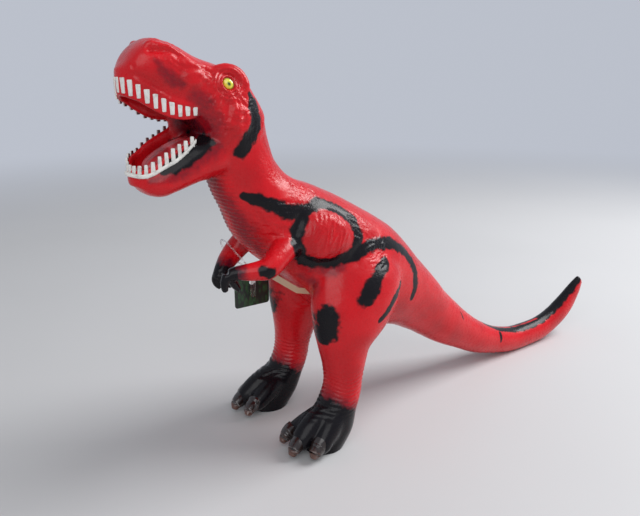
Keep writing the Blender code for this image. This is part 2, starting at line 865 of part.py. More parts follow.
def make_jaw():
    sections = profile_sections(jaw_shares)
    jaw = loft(refined(sections), jaw_sides, jaw_squareness_share)
    tongue_size = Vector(tongue_size_shares) * figure_length
    tongue = ellipsoid(scaled_place(tongue_place_shares), tongue_size, tongue_tilt)
    teeth = make_teeth(sections, lower_tooth_rows, lower_tooth_count, lower_tooth_share, 1.0,
                       jaw_squareness_share)
    join(jaw, teeth, tongue)
    cut(jaw, skull_loft(body_sides, -clearance), body_loft(neck_rows, body_sides, -clearance))
    return finish(jaw, "lower_jaw", "red_vinyl")


def finger_cones(shares, side, drop):
    """Two short claws that point forward and down from the hand."""
    hand = scaled_place(shares[-2], side)
    length = finger_length_share * figure_length
    radius = finger_radius_share * figure_length
    spread = finger_spread_share * figure_length
    direction = Vector((-math.cos(drop), 0.0, -math.sin(drop)))
    cones = []
    for offset in (-spread, spread):
        start = hand + AXIS_Y * offset
        heading = direction + AXIS_Y * offset / length
        cones.append(bar(start, heading, length + radius, radius, radius * finger_tip_share, claw_sides))
    return cones


def make_arm(name, shares, side, drop):
    arm = loft(refined(limb_sections(shares, side)), limb_sides)
    cut(arm, body_loft(torso_rows, body_sides, -2.0 * clearance))
    join(arm, *finger_cones(shares, side, drop))
    join(arm, shoulder_ball(side))
    return finish(arm, name, "red_vinyl")


def toe(shares, side):
    return loft(limb_sections(shares, side, foot_shift(side, 0.0)), toe_sides)


def collar_and_flange(side):
    """The plug at the hip: a flange inside the body, and a collar from it out into the leg."""
    inner = collar_inner_share * figure_length
    start = Vector((hip_shares[0] * figure_length, side * inner, hip_shares[1] * figure_length))
    flange = bar(start, AXIS_Y * side, flange_thickness, flange_radius_share * figure_length)
    collar = collar_radius_share * figure_length
    return join(flange, collar_bar(side, collar, collar_inner_share, collar_outer_share,
                                   -flange_thickness / 2.0))


def make_leg(name, side):
    sections = leg_sections(side)
    leg = loft(refined(sections), body_sides)
    for shares in toe_shares:
        join(leg, toe(shares, side))
    cut(leg, body_loft(torso_rows, body_sides, -clearance), floor_cutter())
    lining = loft(sections[leg_lining_rows], lining_sides, 2.0, skin_wall)
    cut(lining, body_loft(torso_rows, body_sides, -(clearance + skin_wall)))
    cut(leg, lining)
    join(leg, collar_and_flange(side))
    bore = collar_bore_share * figure_length
    cut(leg, collar_bar(side, bore, collar_inner_share, collar_outer_share, bore_overrun))
    return finish(leg, name, "red_vinyl")


def make_leg_stuffing(name, side):
    inset = skin_wall + stuffing_clearance
    filling = loft(leg_sections(side)[leg_lining_rows], lining_sides, 2.0, inset)
    cut(filling, body_loft(torso_rows, body_sides, -(2.0 * clearance + skin_wall)))
    collar = collar_radius_share * figure_length + clearance
    cut(filling, collar_bar(side, collar, collar_inner_share, collar_outer_share, clearance))
    return finish(filling, name, "stuffing")


def make_tail():
    tail = body_loft(tail_rows, body_sides)
    keep_inside(tail, tail_capsule(tail_seam_radius_share * figure_length))
    cut(tail, tip_capsule(round_allowance(tip_seam_radius_share * figure_length)))
    cut(tail, body_loft(tail_rows, lining_sides, skin_wall, 1), floor_cutter())
    return finish(tail, "tail_skin", "red_vinyl")


def make_tail_stuffing():
    inset = skin_wall + stuffing_clearance
    filling = body_loft(tail_rows, lining_sides, inset, 1)
    keep_inside(filling, tail_capsule(tail_seam_radius_share * figure_length))
    cut(filling, tip_capsule(round_allowance(tip_seam_radius_share * figure_length)))
    return finish(filling, "tail_stuffing", "stuffing")


def make_tail_tip():
    tip = body_loft(tail_tip_rows, body_sides)
    keep_inside(tip, tip_capsule(tip_seam_radius_share * figure_length))
    cut(tip, floor_cutter())
    return finish(tip, "tail_tip", "red_vinyl")


# Sound unit

def on_unit(distance, angle, y):
    """A place in the sound unit, by its distance and angle from the case's axis."""
    across = distance * math.cos(angle)
    up = distance * math.sin(angle)
    return Vector((unit_centre.x + across, y, unit_centre.z + up))


def cell_place(y):
    return on_unit(cell_distance, cell_angle, y)


def first_cell_face():
    return near_face + case_wall + clearance + contact_thickness + contact_gap


def lid_inner_face():
    return far_face - lid_thickness


def door_ear_place(y):
    turn = Vector((math.cos(door_ear_angle), 0.0, math.sin(door_ear_angle)))
    return cell_place(y) + turn * door_ear_distance


def door_ear_start():
    return far_face + clearance + (door_thickness - door_ear_thickness) / 2.0


def make_case_base():
    base = bar(on_unit(0.0, 0.0, near_face), AXIS_Y, case_width - lid_thickness - clearance, case_radius)
    inside = case_radius - case_wall
    cut(base, bar(on_unit(0.0, 0.0, near_face + case_wall), AXIS_Y, case_width, inside))
    boss_length = case_width - 2.0 * case_wall - lid_spigot_depth - 2.0 * clearance
    for angle in boss_angles:
        start = on_unit(boss_distance, angle, near_face + case_wall / 2.0)
        boss = bar(start, AXIS_Y, boss_length, boss_radius, sides=small_sides)
        join(base, boss)
        hole = bar(on_unit(boss_distance, angle, lid_inner_face() - screw_length), AXIS_Y,
                   screw_length + overrun, screw_shank_radius + clearance, sides=small_sides)
        cut(base, hole)
    button_hole = bar(button_place(near_face - overrun), AXIS_Y, case_wall + 2.0 * overrun,
                      button_radius + clearance)
    cut(base, button_hole, tab_slot())
    return finish(base, "sound_case_base", "case_plastic")


def make_case_lid():
    lid = bar(on_unit(0.0, 0.0, lid_inner_face()), AXIS_Y, lid_thickness, case_radius)
    spigot_radius = case_radius - case_wall - clearance
    spigot = bar(on_unit(0.0, 0.0, lid_inner_face() - lid_spigot_depth), AXIS_Y,
                 lid_spigot_depth + lid_thickness / 2.0, spigot_radius)
    hollow = bar(on_unit(0.0, 0.0, lid_inner_face() - lid_spigot_depth - overrun), AXIS_Y,
                 lid_spigot_depth + overrun, spigot_radius - lid_spigot_width)
    join(lid, cut(spigot, hollow))
    for angle in boss_angles:
        start = on_unit(boss_distance, angle, lid_inner_face() - lid_spigot_depth - overrun)
        cut(lid, bar(start, AXIS_Y, lid_spigot_depth + lid_thickness + 2.0 * overrun,
                     screw_shank_radius + clearance, sides=small_sides))
    door_depth = lid_spigot_depth + lid_thickness + 2.0 * overrun
    cut(lid, bar(cell_place(lid_inner_face() - lid_spigot_depth - overrun), AXIS_Y, door_depth,
                 door_radius + clearance))
    cut(lid, bar(door_ear_place(lid_inner_face() - overrun), AXIS_Y, door_depth,
                 screw_shank_radius + clearance, sides=small_sides))
    centre = speaker_place(lid_inner_face() - overrun)
    hole_places = [centre]
    for index in range(grille_hole_count):
        angle = math.tau * index / grille_hole_count
        hole_places.append(centre + Vector((math.cos(angle), 0.0, math.sin(angle))) * grille_ring_radius)
    for place in hole_places:
        cut(lid, bar(place, AXIS_Y, door_depth, grille_hole_radius, sides=small_sides))
    return finish(lid, "sound_case_lid", "case_plastic")


def make_battery_door():
    """A round door with a lip over the lid and an ear for its screw."""
    outer = far_face + clearance
    door = bar(cell_place(lid_inner_face()), AXIS_Y, lid_thickness + clearance + door_thickness, door_radius)
    join(door, bar(cell_place(outer), AXIS_Y, door_thickness, door_radius + door_lip))
    ear = bar(door_ear_place(door_ear_start()), AXIS_Y, door_ear_thickness, door_ear_radius,
              sides=small_sides)
    join(door, ear)
    cut(door, bar(door_ear_place(outer - overrun), AXIS_Y, door_thickness + 2.0 * overrun,
                  screw_shank_radius + clearance, sides=small_sides))
    return finish(door, "battery_door", "case_plastic")


def make_screw(name, head_seat, length):
    """A pan-head screw seen from the far side: its head seats on the given place, its shank goes in."""
    screw = bar(head_seat, AXIS_Y, screw_head_height, screw_head_radius, sides=small_sides)
    join(screw, bar(head_seat + AXIS_Y * screw_head_height / 2.0, -AXIS_Y,
                    length + screw_head_height / 2.0, screw_shank_radius, sides=small_sides))
    finish(screw, name, "steel")


def make_screws():
    for index, angle in enumerate(boss_angles):
        seat = on_unit(boss_distance, angle, far_face + clearance)
        make_screw(f"case_screw_{index + 1}", seat, screw_length - clearance)
    door_seat = door_ear_start() + door_ear_thickness + clearance
    make_screw("door_screw", door_ear_place(door_seat), door_seat - lid_inner_face() - clearance)


def make_cells():
    for index in range(cell_count):
        start = first_cell_face() + index * (cell_height + clearance)
        rim = cell_radius * cell_rim_share
        cell = bar(cell_place(start + rim), AXIS_Y, cell_height - rim, cell_radius)
        join(cell, bar(cell_place(start), AXIS_Y, 2.0 * rim, cell_radius - 2.0 * rim))
        finish(cell, f"button_cell_{index + 1}", "steel")


def make_contacts():
    start = near_face + case_wall + clearance
    plate = bar(cell_place(start), AXIS_Y, contact_thickness, contact_radius, sides=small_sides)
    finish(plate, "battery_contact_negative", "steel")
    stack_end = first_cell_face() + cell_count * (cell_height + clearance)
    dish = bar(cell_place(stack_end), AXIS_Y, lid_inner_face() - clearance - stack_end, contact_radius,
               sides=small_sides)
    finish(dish, "battery_contact_positive", "steel")


def speaker_place(y):
    return on_unit(speaker_distance, speaker_angle, y)


def make_speaker():
    front = lid_inner_face() - clearance
    frame = bar(speaker_place(front - speaker_depth), AXIS_Y, speaker_depth, speaker_radius)
    opening = speaker_radius - speaker_rim
    cut(frame, bar(speaker_place(front - speaker_depth + speaker_plate), AXIS_Y, speaker_depth, opening))
    finish(frame, "speaker_frame", "steel")
    cone_back = front - speaker_depth + speaker_plate + clearance
    cone = bar(speaker_place(cone_back), AXIS_Y, speaker_depth - 2.0 * speaker_plate, magnet_radius / 2.0,
               opening - clearance)
    hollow_start = cone_back + cone_edge
    hollow = bar(speaker_place(hollow_start), AXIS_Y, speaker_depth, magnet_radius / 2.0,
                 opening + speaker_depth)
    finish(cut(cone, hollow), "speaker_cone", "paper_cone")
    magnet_start = front - speaker_depth - clearance - magnet_depth
    magnet = bar(speaker_place(magnet_start), AXIS_Y, magnet_depth, magnet_radius)
    finish(magnet, "speaker_magnet", "magnet")


def board_place(y):
    return on_unit(board_distance, board_angle, y)


def make_board():
    y = near_face + board_depth
    board = box(board_place(y), (board_length, board_thickness, board_height))
    finish(board, "circuit_board", "circuit_green")
    chip_start = board_place(y + board_thickness / 2.0 + clearance)
    chip = bar(chip_start, AXIS_Y, chip_height, chip_radius, chip_radius * chip_top_share, sides=small_sides)
    finish(chip, "sound_chip", "black_plastic")


def button_place(y):
    return board_place(y)


def make_button():
    button = bar(button_place(near_face - button_stand), AXIS_Y,
                 button_stand + case_wall + clearance + button_flange, button_radius)
    flange_start = near_face + case_wall + clearance
    join(button, bar(button_place(flange_start), AXIS_Y, button_flange, button_flange_radius))
    return finish(button, "press_button", "white_plastic")


def make_button_spring():
    """The spring that pushes the button back out, between its flange and the circuit board."""
    flange_start = near_face + case_wall + clearance
    start = flange_start + button_flange + clearance + spring_wire
    end = near_face + board_depth - board_thickness / 2.0 - clearance - spring_wire
    points = []
    count = spring_turns * spring_points
    for index in range(count + 1):
        angle = math.tau * index / spring_points
        across = Vector((math.cos(angle), 0.0, math.sin(angle))) * spring_radius
        points.append(button_place(start + (end - start) * index / count) + across)
    finish(solid_curve(points, spring_wire, resolution=1), "button_spring", "steel")


def make_leads():
    """Two short wires from the back of the speaker to the circuit board."""
    leads = (("speaker_lead_1", -1.0, "red_wire"), ("speaker_lead_2", 1.0, "black_wire"))
    for name, sign, material in leads:
        front = lid_inner_face() - clearance
        board_top = board_place(near_face + board_depth + board_thickness / 2.0 + clearance)
        board_end = board_top + Vector((sign * lead_spacing / 2.0, 0.0, board_height * lead_board_share))
        speaker_back = front - speaker_depth - clearance
        angle = lead_speaker_angle - sign * lead_spacing / speaker_radius
        across = Vector((math.cos(angle), 0.0, math.sin(angle))) * (speaker_radius - speaker_rim / 2.0)
        speaker_end = speaker_place(speaker_back) + across
        points = []
        for index in range(lead_points):
            t = index / (lead_points - 1)
            ease = t * t * (3.0 - 2.0 * t)
            place = board_end.lerp(speaker_end, ease)
            place.y = board_end.y + (speaker_end.y - board_end.y) * t
            points.append(place)
        finish(solid_curve(points, lead_radius, resolution=1), name, material)


# Pull tab, tag and loop

def tab_direction():
    """Out of the belly along the inner stretch of the tab."""
    return Vector((-math.cos(tab_slope), 0.0, math.sin(tab_slope)))


def tab_plane_y():
    plate_face = near_face + case_wall + clearance + contact_thickness
    return plate_face + contact_gap / 2.0


def tab_start():
    return cell_place(tab_plane_y()) - tab_direction() * contact_radius


def tab_slot():
    """The slot through the case, the skin and the patch that the tab runs in."""
    direction = tab_direction()
    start = tab_start() - direction * tab_slot_margin
    length = tab_inner_length + tab_outer_length
    turn = Matrix.Rotation(tab_slope, 4, "Y")
    sizes = (length, tab_thickness + 2.0 * clearance, tab_width + 2.0 * tab_slot_margin)
    return box(start + direction * length / 2.0, sizes, turn)


def make_pull_tab():
    """A bent strip: the inner stretch lies in the slot, and the outer one turns up along the belly."""
    inner = tab_direction()
    slope = tab_slope + tab_bend
    outer = Vector((-math.cos(slope), 0.0, math.sin(slope)))
    start = tab_start()
    corner = start + inner * tab_inner_length
    end = corner + outer * tab_outer_length
    half = tab_width / 2.0
    normals = []
    for direction in (inner, (inner + outer).normalized(), outer):
        normals.append(Vector((direction.z, 0.0, -direction.x)) * half)
    outline = [start + normals[0], corner + normals[1], end + normals[2] - outer * half,
               end + normals[2] * tab_end_share, end - normals[2] * tab_end_share,
               end - normals[2] - outer * half,
               corner - normals[1], start - normals[0]]
    return finish(flat_piece(outline, AXIS_Y * tab_thickness), "battery_pull_tab", "clear_film")


def flat_piece(outline, thickness):
    """A flat outline given some thickness, half to each side of its plane."""
    builder = bmesh.new()
    face = builder.faces.new([builder.verts.new(point - thickness / 2.0) for point in outline])
    grown = bmesh.ops.extrude_face_region(builder, geom=[face])
    moved = [item for item in grown["geom"] if isinstance(item, bmesh.types.BMVert)]
    bmesh.ops.translate(builder, verts=moved, vec=thickness)
    bmesh.ops.recalc_face_normals(builder, faces=builder.faces)
    return object_from(builder)


def tag_hole_place():
    return scaled_place(tag_shares) + AXIS_Z * (tag_height / 2.0 - tag_hole_inset)


def tag_hang_place():
    """Where the loop's wire passes through the tag's hole, just under its upper edge."""
    return tag_hole_place() + AXIS_Z * (tag_hole_radius - loop_wire - clearance)


def make_tag():
    centre = scaled_place(tag_shares)
    half_width = tag_width / 2.0
    half_height = tag_height / 2.0
    outline = []
    for quarter, (sx, sz) in enumerate(((1, 1), (-1, 1), (-1, -1), (1, -1))):
        corner = centre + Vector((sx * (half_width - tag_corner), 0.0, sz * (half_height - tag_corner)))
        for step in range(tag_corner_steps + 1):
            angle = math.pi / 2.0 * (quarter + step / tag_corner_steps)
            outline.append(corner + Vector((math.cos(angle), 0.0, math.sin(angle))) * tag_corner)
    tag = flat_piece(outline, AXIS_Y * tag_thickness)
    hole_start = tag_hole_place() - AXIS_Y * overrun
    cut(tag, bar(hole_start, AXIS_Y, 2.0 * overrun, tag_hole_radius))
    return finish(tag, "hang_tag", "printed_card")


def make_tag_loop():
    """A thin plastic loop round the right arm and through the tag's hole, with its loose end."""
    top = scaled_place(loop_top_shares)
    arm_radius = right_arm_shares[2][3] * figure_length
    radius = arm_radius + loop_wire + loop_slack
    hook_radius = tag_hole_radius * loop_hook_share
    hook = tag_hang_place() + AXIS_Z * hook_radius
    rise = AXIS_Z * (tag_hole_inset + 2.0 * loop_wire)
    along = (hook - top).normalized()
    across = (AXIS_Y - along * AXIS_Y.dot(along)).normalized()
    half = loop_points // 2
    quarter = half // 2
    points = []
    for index in range(half + 1):
        angle = math.pi + math.pi * index / half
        points.append(top + across * radius * math.cos(angle) + along * radius * math.sin(angle))
    points.append(hook + AXIS_Y * hook_radius + rise)
    for index in range(quarter + 1):
        angle = math.pi * index / quarter
        points.append(hook + (AXIS_Y * math.cos(angle) - AXIS_Z * math.sin(angle)) * hook_radius)
    points.append(hook - AXIS_Y * hook_radius + rise)
    loop = solid_curve(points, loop_wire, cyclic=True)
    tongue_drop = tongue_length / 2.0 - tongue_width / 2.0
    tongue_centre = hook - AXIS_Y * (hook_radius + tongue_thickness / 2.0) - AXIS_Z * tongue_drop
    join(loop, box(tongue_centre, (tongue_width, tongue_thickness, tongue_length)))
    return finish(loop, "tag_loop", "white_plastic")


def make_head_group():
    """The head turns at the neck seam, and the jaw turns on the head."""
    pieces = [make_head(), make_head_stuffing()]
    pivot = add_pivot("neck_pivot", scaled_place(neck_seam_shares), pieces)
    add_pivot("jaw_pivot", scaled_place(jaw_pivot_shares), [make_jaw()], pivot)


def make_arm_groups():
    """Each arm turns at its shoulder, and the tag swings from the right arm's loop."""
    left_arm = make_arm("left_arm", left_arm_shares, LEFT, left_finger_drop)
    add_pivot("left_shoulder_pivot", scaled_place(shoulder_shares, LEFT), [left_arm])
    right_arm = make_arm("right_arm", right_arm_shares, RIGHT, right_finger_drop)
    shoulder = scaled_place(shoulder_shares, RIGHT)
    pivot = add_pivot("right_shoulder_pivot", shoulder, [right_arm, make_tag_loop()])
    add_pivot("tag_pivot", tag_hang_place(), [make_tag()], pivot)


def make_tail_group():
    """The tail bends at its root, and its tip bends on it."""
    pieces = [make_tail(), make_tail_stuffing()]
    pivot = add_pivot("tail_pivot", scaled_place(tail_seam_shares), pieces)
    add_pivot("tail_tip_pivot", scaled_place(tip_seam_shares), [make_tail_tip()], pivot)


def make_sound_unit():
    make_case_base()
    make_case_lid()
    make_battery_door()
    make_screws()
    make_cells()
    make_contacts()
    make_speaker()
    make_board()
    make_button_spring()
    make_leads()
    add_pivot("button_slide", button_place(near_face), [make_button()])
    add_pivot("pull_tab_slide", tab_start(), [make_pull_tab()])


def main():
    global parts, cutters
    clear_scene()
    parts = new_collection("toy_dinosaur")
    cutters = new_collection("cutters")
    make_materials()
    make_torso()
    make_belly_patch()
    make_torso_stuffing()
    make_head_group()
    make_arm_groups()
    for name, side in (("left", LEFT), ("right", RIGHT)):
        make_leg(f"{name}_leg_skin", side)
        make_leg_stuffing(f"{name}_leg_stuffing", side)
    make_tail_group()
    make_sound_unit()


main()
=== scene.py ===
"""Looks of a soft vinyl toy dinosaur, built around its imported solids.

The skin is lofted, melted into one sheet, sculpted in code and then parted along lines that don't move, so
that each part bends across one joint at most. Metres, +Z up, the nose points to -X and the figure's left side
is -Y. Places in the tables are shares of the figure's length, with y measured outwards from the middle plane.
"""

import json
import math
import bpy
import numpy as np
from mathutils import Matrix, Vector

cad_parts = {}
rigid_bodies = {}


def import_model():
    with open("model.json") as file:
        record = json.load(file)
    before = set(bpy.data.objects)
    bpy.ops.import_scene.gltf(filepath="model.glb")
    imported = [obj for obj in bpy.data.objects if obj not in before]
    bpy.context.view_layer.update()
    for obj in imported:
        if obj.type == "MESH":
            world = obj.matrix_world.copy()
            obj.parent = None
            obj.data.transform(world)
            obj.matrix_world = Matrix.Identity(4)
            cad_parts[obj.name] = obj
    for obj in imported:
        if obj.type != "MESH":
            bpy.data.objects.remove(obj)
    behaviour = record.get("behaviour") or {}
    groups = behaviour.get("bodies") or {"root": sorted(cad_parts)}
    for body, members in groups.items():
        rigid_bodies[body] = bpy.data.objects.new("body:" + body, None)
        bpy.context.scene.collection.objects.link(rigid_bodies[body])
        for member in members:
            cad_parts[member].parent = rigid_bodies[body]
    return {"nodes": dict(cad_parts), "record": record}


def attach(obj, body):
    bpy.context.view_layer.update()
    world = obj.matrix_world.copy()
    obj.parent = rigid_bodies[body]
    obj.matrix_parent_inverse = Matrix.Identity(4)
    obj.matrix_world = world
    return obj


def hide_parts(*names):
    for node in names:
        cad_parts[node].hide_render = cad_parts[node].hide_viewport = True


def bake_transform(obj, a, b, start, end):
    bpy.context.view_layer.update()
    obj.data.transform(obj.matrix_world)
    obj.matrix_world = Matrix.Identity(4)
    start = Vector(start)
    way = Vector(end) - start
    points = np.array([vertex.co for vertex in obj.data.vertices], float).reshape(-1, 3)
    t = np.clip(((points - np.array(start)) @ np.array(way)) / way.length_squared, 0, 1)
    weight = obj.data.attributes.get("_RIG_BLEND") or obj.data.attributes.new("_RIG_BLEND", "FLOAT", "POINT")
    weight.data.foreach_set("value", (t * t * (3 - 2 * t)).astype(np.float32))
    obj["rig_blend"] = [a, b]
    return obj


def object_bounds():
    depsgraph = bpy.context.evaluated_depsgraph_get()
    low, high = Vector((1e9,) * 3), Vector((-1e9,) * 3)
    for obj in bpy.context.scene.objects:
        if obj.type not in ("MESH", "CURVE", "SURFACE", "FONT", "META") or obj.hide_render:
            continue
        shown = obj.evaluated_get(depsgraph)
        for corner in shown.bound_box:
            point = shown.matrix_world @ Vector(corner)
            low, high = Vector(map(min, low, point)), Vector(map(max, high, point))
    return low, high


bl_info = {
    "name": "Toy Dinosaur",
    "version": (1, 0, 0),
    "blender": (4, 5, 0),
    "location": "3D View > Sidebar > Dinosaur",
    "description": "Builds a soft vinyl toy dinosaur around its packed solids",
    "category": "Object",
}

import bmesh
import bpy
import numpy as np
from bpy.props import FloatProperty, FloatVectorProperty, IntProperty, PointerProperty
from mathutils import Matrix, Vector
from mathutils.bvhtree import BVHTree

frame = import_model()
cad_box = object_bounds()

LENGTH = 0.450
MM = 0.001
LEFT, RIGHT = -1.0, 1.0
SIDES = (LEFT, RIGHT)
AXIS_X = Vector((1.0, 0.0, 0.0))
AXIS_Y = Vector((0.0, 1.0, 0.0))
AXIS_Z = Vector((0.0, 0.0, 1.0))

# Cuts through the body from the neck to the tail's tip: back x, back z, belly x, belly z and half width
BODY = (
    (-0.298, 0.505, -0.371, 0.458, 0.047), (-0.291, 0.471, -0.378, 0.430, 0.049),
    (-0.279, 0.438, -0.370, 0.400, 0.051), (-0.254, 0.413, -0.356, 0.371, 0.058),
    (-0.213, 0.396, -0.341, 0.336, 0.067), (-0.169, 0.375, -0.313, 0.303, 0.075),
    (-0.129, 0.353, -0.274, 0.270, 0.080), (-0.093, 0.332, -0.236, 0.231, 0.082),
    (-0.062, 0.311, -0.196, 0.189, 0.080), (-0.036, 0.287, -0.142, 0.158, 0.071),
    (-0.013, 0.262, -0.089, 0.144, 0.062), (0.011, 0.238, -0.049, 0.133, 0.054),
    (0.040, 0.209, -0.013, 0.116, 0.047), (0.073, 0.173, 0.027, 0.093, 0.041),
    (0.111, 0.138, 0.071, 0.067, 0.037), (0.149, 0.107, 0.116, 0.046, 0.032),
    (0.187, 0.082, 0.164, 0.024, 0.029), (0.229, 0.062, 0.218, 0.009, 0.026),
    (0.273, 0.050, 0.271, -0.001, 0.024), (0.320, 0.047, 0.324, -0.001, 0.022),
    (0.364, 0.051, 0.376, 0.003, 0.020), (0.402, 0.064, 0.422, 0.020, 0.018),
    (0.433, 0.082, 0.460, 0.044, 0.016), (0.464, 0.104, 0.484, 0.076, 0.012),
    (0.487, 0.120, 0.498, 0.102, 0.006),
)
SKULL = (
    (-0.489, 0.569, -0.493, 0.560, 0.013), (-0.478, 0.586, -0.488, 0.555, 0.025),
    (-0.464, 0.597, -0.478, 0.550, 0.034), (-0.447, 0.602, -0.460, 0.539, 0.039),
    (-0.421, 0.594, -0.438, 0.527, 0.042), (-0.396, 0.580, -0.416, 0.514, 0.046),
    (-0.369, 0.571, -0.398, 0.493, 0.050), (-0.340, 0.562, -0.380, 0.464, 0.054),
    (-0.320, 0.541, -0.367, 0.436, 0.053), (-0.300, 0.509, -0.356, 0.418, 0.047),
)
JAW = (
    (-0.482, 0.436, -0.482, 0.424, 0.016), (-0.472, 0.439, -0.471, 0.410, 0.029),
    (-0.455, 0.445, -0.454, 0.405, 0.038), (-0.436, 0.457, -0.436, 0.409, 0.041),
    (-0.416, 0.471, -0.413, 0.416, 0.043), (-0.396, 0.480, -0.391, 0.422, 0.045),
    (-0.370, 0.484, -0.366, 0.428, 0.044), (-0.345, 0.480, -0.344, 0.436, 0.036),
)
# Rolls of vinyl on each side of the head: x, y, z and radius
BROW = (
    (-0.390, 0.031, 0.556, 0.0055), (-0.377, 0.033, 0.562, 0.0070), (-0.362, 0.035, 0.564, 0.0085),
    (-0.349, 0.037, 0.559, 0.0090), (-0.341, 0.042, 0.547, 0.0080), (-0.340, 0.045, 0.532, 0.0055),
)
SNOUT_RIDGE = (
    (-0.464, 0.025, 0.594, 0.0045), (-0.454, 0.028, 0.594, 0.0055), (-0.446, 0.031, 0.592, 0.0050),
    (-0.435, 0.033, 0.588, 0.0060), (-0.426, 0.035, 0.582, 0.0050), (-0.412, 0.038, 0.573, 0.0060),
    (-0.397, 0.040, 0.566, 0.0050),
)
# Gum walls from the middle of the front back: x, y, the lip's z and the teeth's tip z
UPPER_GUM = (
    (-0.4950, 0.000, 0.555, 0.538), (-0.4920, 0.012, 0.555, 0.537), (-0.4860, 0.020, 0.553, 0.535),
    (-0.4780, 0.026, 0.548, 0.532), (-0.4690, 0.030, 0.542, 0.526), (-0.4590, 0.033, 0.536, 0.520),
    (-0.4480, 0.035, 0.530, 0.514), (-0.4370, 0.037, 0.525, 0.510), (-0.4250, 0.0385, 0.521, 0.508),
    (-0.4130, 0.0395, 0.519, 0.508), (-0.4040, 0.0400, 0.517, 0.509),
)
LOWER_GUM = (
    (-0.4880, 0.000, 0.434, 0.449), (-0.4860, 0.010, 0.434, 0.449), (-0.4810, 0.019, 0.433, 0.448),
    (-0.4740, 0.025, 0.433, 0.450), (-0.4650, 0.029, 0.436, 0.454), (-0.4560, 0.0315, 0.441, 0.460),
    (-0.4460, 0.033, 0.446, 0.466), (-0.4360, 0.0345, 0.451, 0.471), (-0.4260, 0.035, 0.458, 0.476),
    (-0.4170, 0.0355, 0.466, 0.481), (-0.4090, 0.036, 0.474, 0.484),
)
# The far corner of the mouth, which reaches further forward than the near one
FAR_CORNER = ((-0.402, 0.034, 0.532, 0.010), (-0.404, 0.033, 0.512, 0.013), (-0.404, 0.033, 0.494, 0.013),
              (-0.400, 0.034, 0.470, 0.012))
# Along each arm and finger: x, y, z and radius
LEFT_ARM = (
    (-0.262, 0.044, 0.332, 0.024), (-0.284, 0.056, 0.325, 0.020), (-0.308, 0.069, 0.315, 0.0175),
    (-0.330, 0.078, 0.303, 0.0155), (-0.346, 0.074, 0.301, 0.0130), (-0.360, 0.069, 0.3005, 0.0113),
    (-0.373, 0.064, 0.300, 0.0095), (-0.382, 0.061, 0.2985, 0.0085),
)
RIGHT_ARM = (
    (-0.258, 0.046, 0.330, 0.026), (-0.272, 0.060, 0.318, 0.022), (-0.287, 0.072, 0.303, 0.019),
    (-0.301, 0.076, 0.289, 0.0175), (-0.316, 0.072, 0.277, 0.0155), (-0.329, 0.065, 0.267, 0.013),
    (-0.337, 0.060, 0.259, 0.011), (-0.340, 0.058, 0.252, 0.009),
)
LEFT_FINGERS = (
    ((-0.384, 0.061, 0.298, 0.0080), (-0.3885, 0.061, 0.291, 0.0064), (-0.389, 0.060, 0.283, 0.0057),
     (-0.387, 0.059, 0.275, 0.0042)),
    ((-0.376, 0.057, 0.297, 0.0080), (-0.375, 0.054, 0.288, 0.0064), (-0.369, 0.051, 0.279, 0.0057),
     (-0.362, 0.050, 0.270, 0.0042)),
)
RIGHT_FINGERS = (
    ((-0.338, 0.063, 0.259, 0.0090), (-0.342, 0.064, 0.250, 0.0074), (-0.340, 0.063, 0.242, 0.0062),
     (-0.336, 0.061, 0.236, 0.0040)),
    ((-0.336, 0.057, 0.258, 0.0090), (-0.333, 0.054, 0.249, 0.0074), (-0.327, 0.052, 0.243, 0.0062),
     (-0.322, 0.051, 0.239, 0.0040)),
)
# Leg, from the hip down: front x, front z, rear x, rear z, centre y and half width
LEG = (
    (-0.209, 0.311, -0.107, 0.298, 0.053, 0.022), (-0.236, 0.271, -0.084, 0.253, 0.060, 0.040),
    (-0.249, 0.224, -0.096, 0.211, 0.066, 0.046), (-0.246, 0.187, -0.124, 0.178, 0.070, 0.043),
    (-0.240, 0.156, -0.155, 0.153, 0.073, 0.036), (-0.235, 0.127, -0.167, 0.127, 0.077, 0.032),
    (-0.234, 0.102, -0.174, 0.104, 0.079, 0.030), (-0.240, 0.080, -0.176, 0.084, 0.079, 0.030),
    (-0.254, 0.056, -0.184, 0.056, 0.079, 0.031), (-0.266, 0.027, -0.193, 0.024, 0.080, 0.032),
    (-0.272, -0.004, -0.210, -0.004, 0.080, 0.028),
)
TOES = (
    ((-0.222, 0.089, 0.052, 0.020), (-0.240, 0.097, 0.041, 0.0190), (-0.254, 0.103, 0.029, 0.0165),
     (-0.263, 0.107, 0.020, 0.0145), (-0.270, 0.109, 0.015, 0.0105)),
    ((-0.231, 0.080, 0.054, 0.021), (-0.258, 0.081, 0.043, 0.0200), (-0.275, 0.083, 0.032, 0.0180),
     (-0.285, 0.085, 0.023, 0.0155), (-0.292, 0.086, 0.017, 0.0110)),
    ((-0.227, 0.071, 0.048, 0.020), (-0.252, 0.063, 0.037, 0.0185), (-0.268, 0.058, 0.029, 0.0165),
     (-0.278, 0.055, 0.024, 0.0140), (-0.286, 0.053, 0.020, 0.0100)),
)
CLAWS = (
    ((-0.262, 0.106, 0.026, 0.0125), (-0.270, 0.109, 0.021, 0.0120), (-0.277, 0.111, 0.014, 0.0095),
     (-0.281, 0.112, 0.007, 0.0050)),
    ((-0.284, 0.085, 0.028, 0.0125), (-0.292, 0.086, 0.022, 0.0120), (-0.299, 0.087, 0.015, 0.0095),
     (-0.303, 0.087, 0.007, 0.0050)),
    ((-0.278, 0.055, 0.030, 0.0120), (-0.286, 0.053, 0.025, 0.0115), (-0.293, 0.052, 0.018, 0.0090),
     (-0.298, 0.051, 0.010, 0.0050)),
)
# How far the right leg stands ahead of the left one, below a height
RIGHT_FOOT_SHIFT = -0.005
RIGHT_KNEE_SHIFT = 0.010
HIP_HEIGHT = 0.256
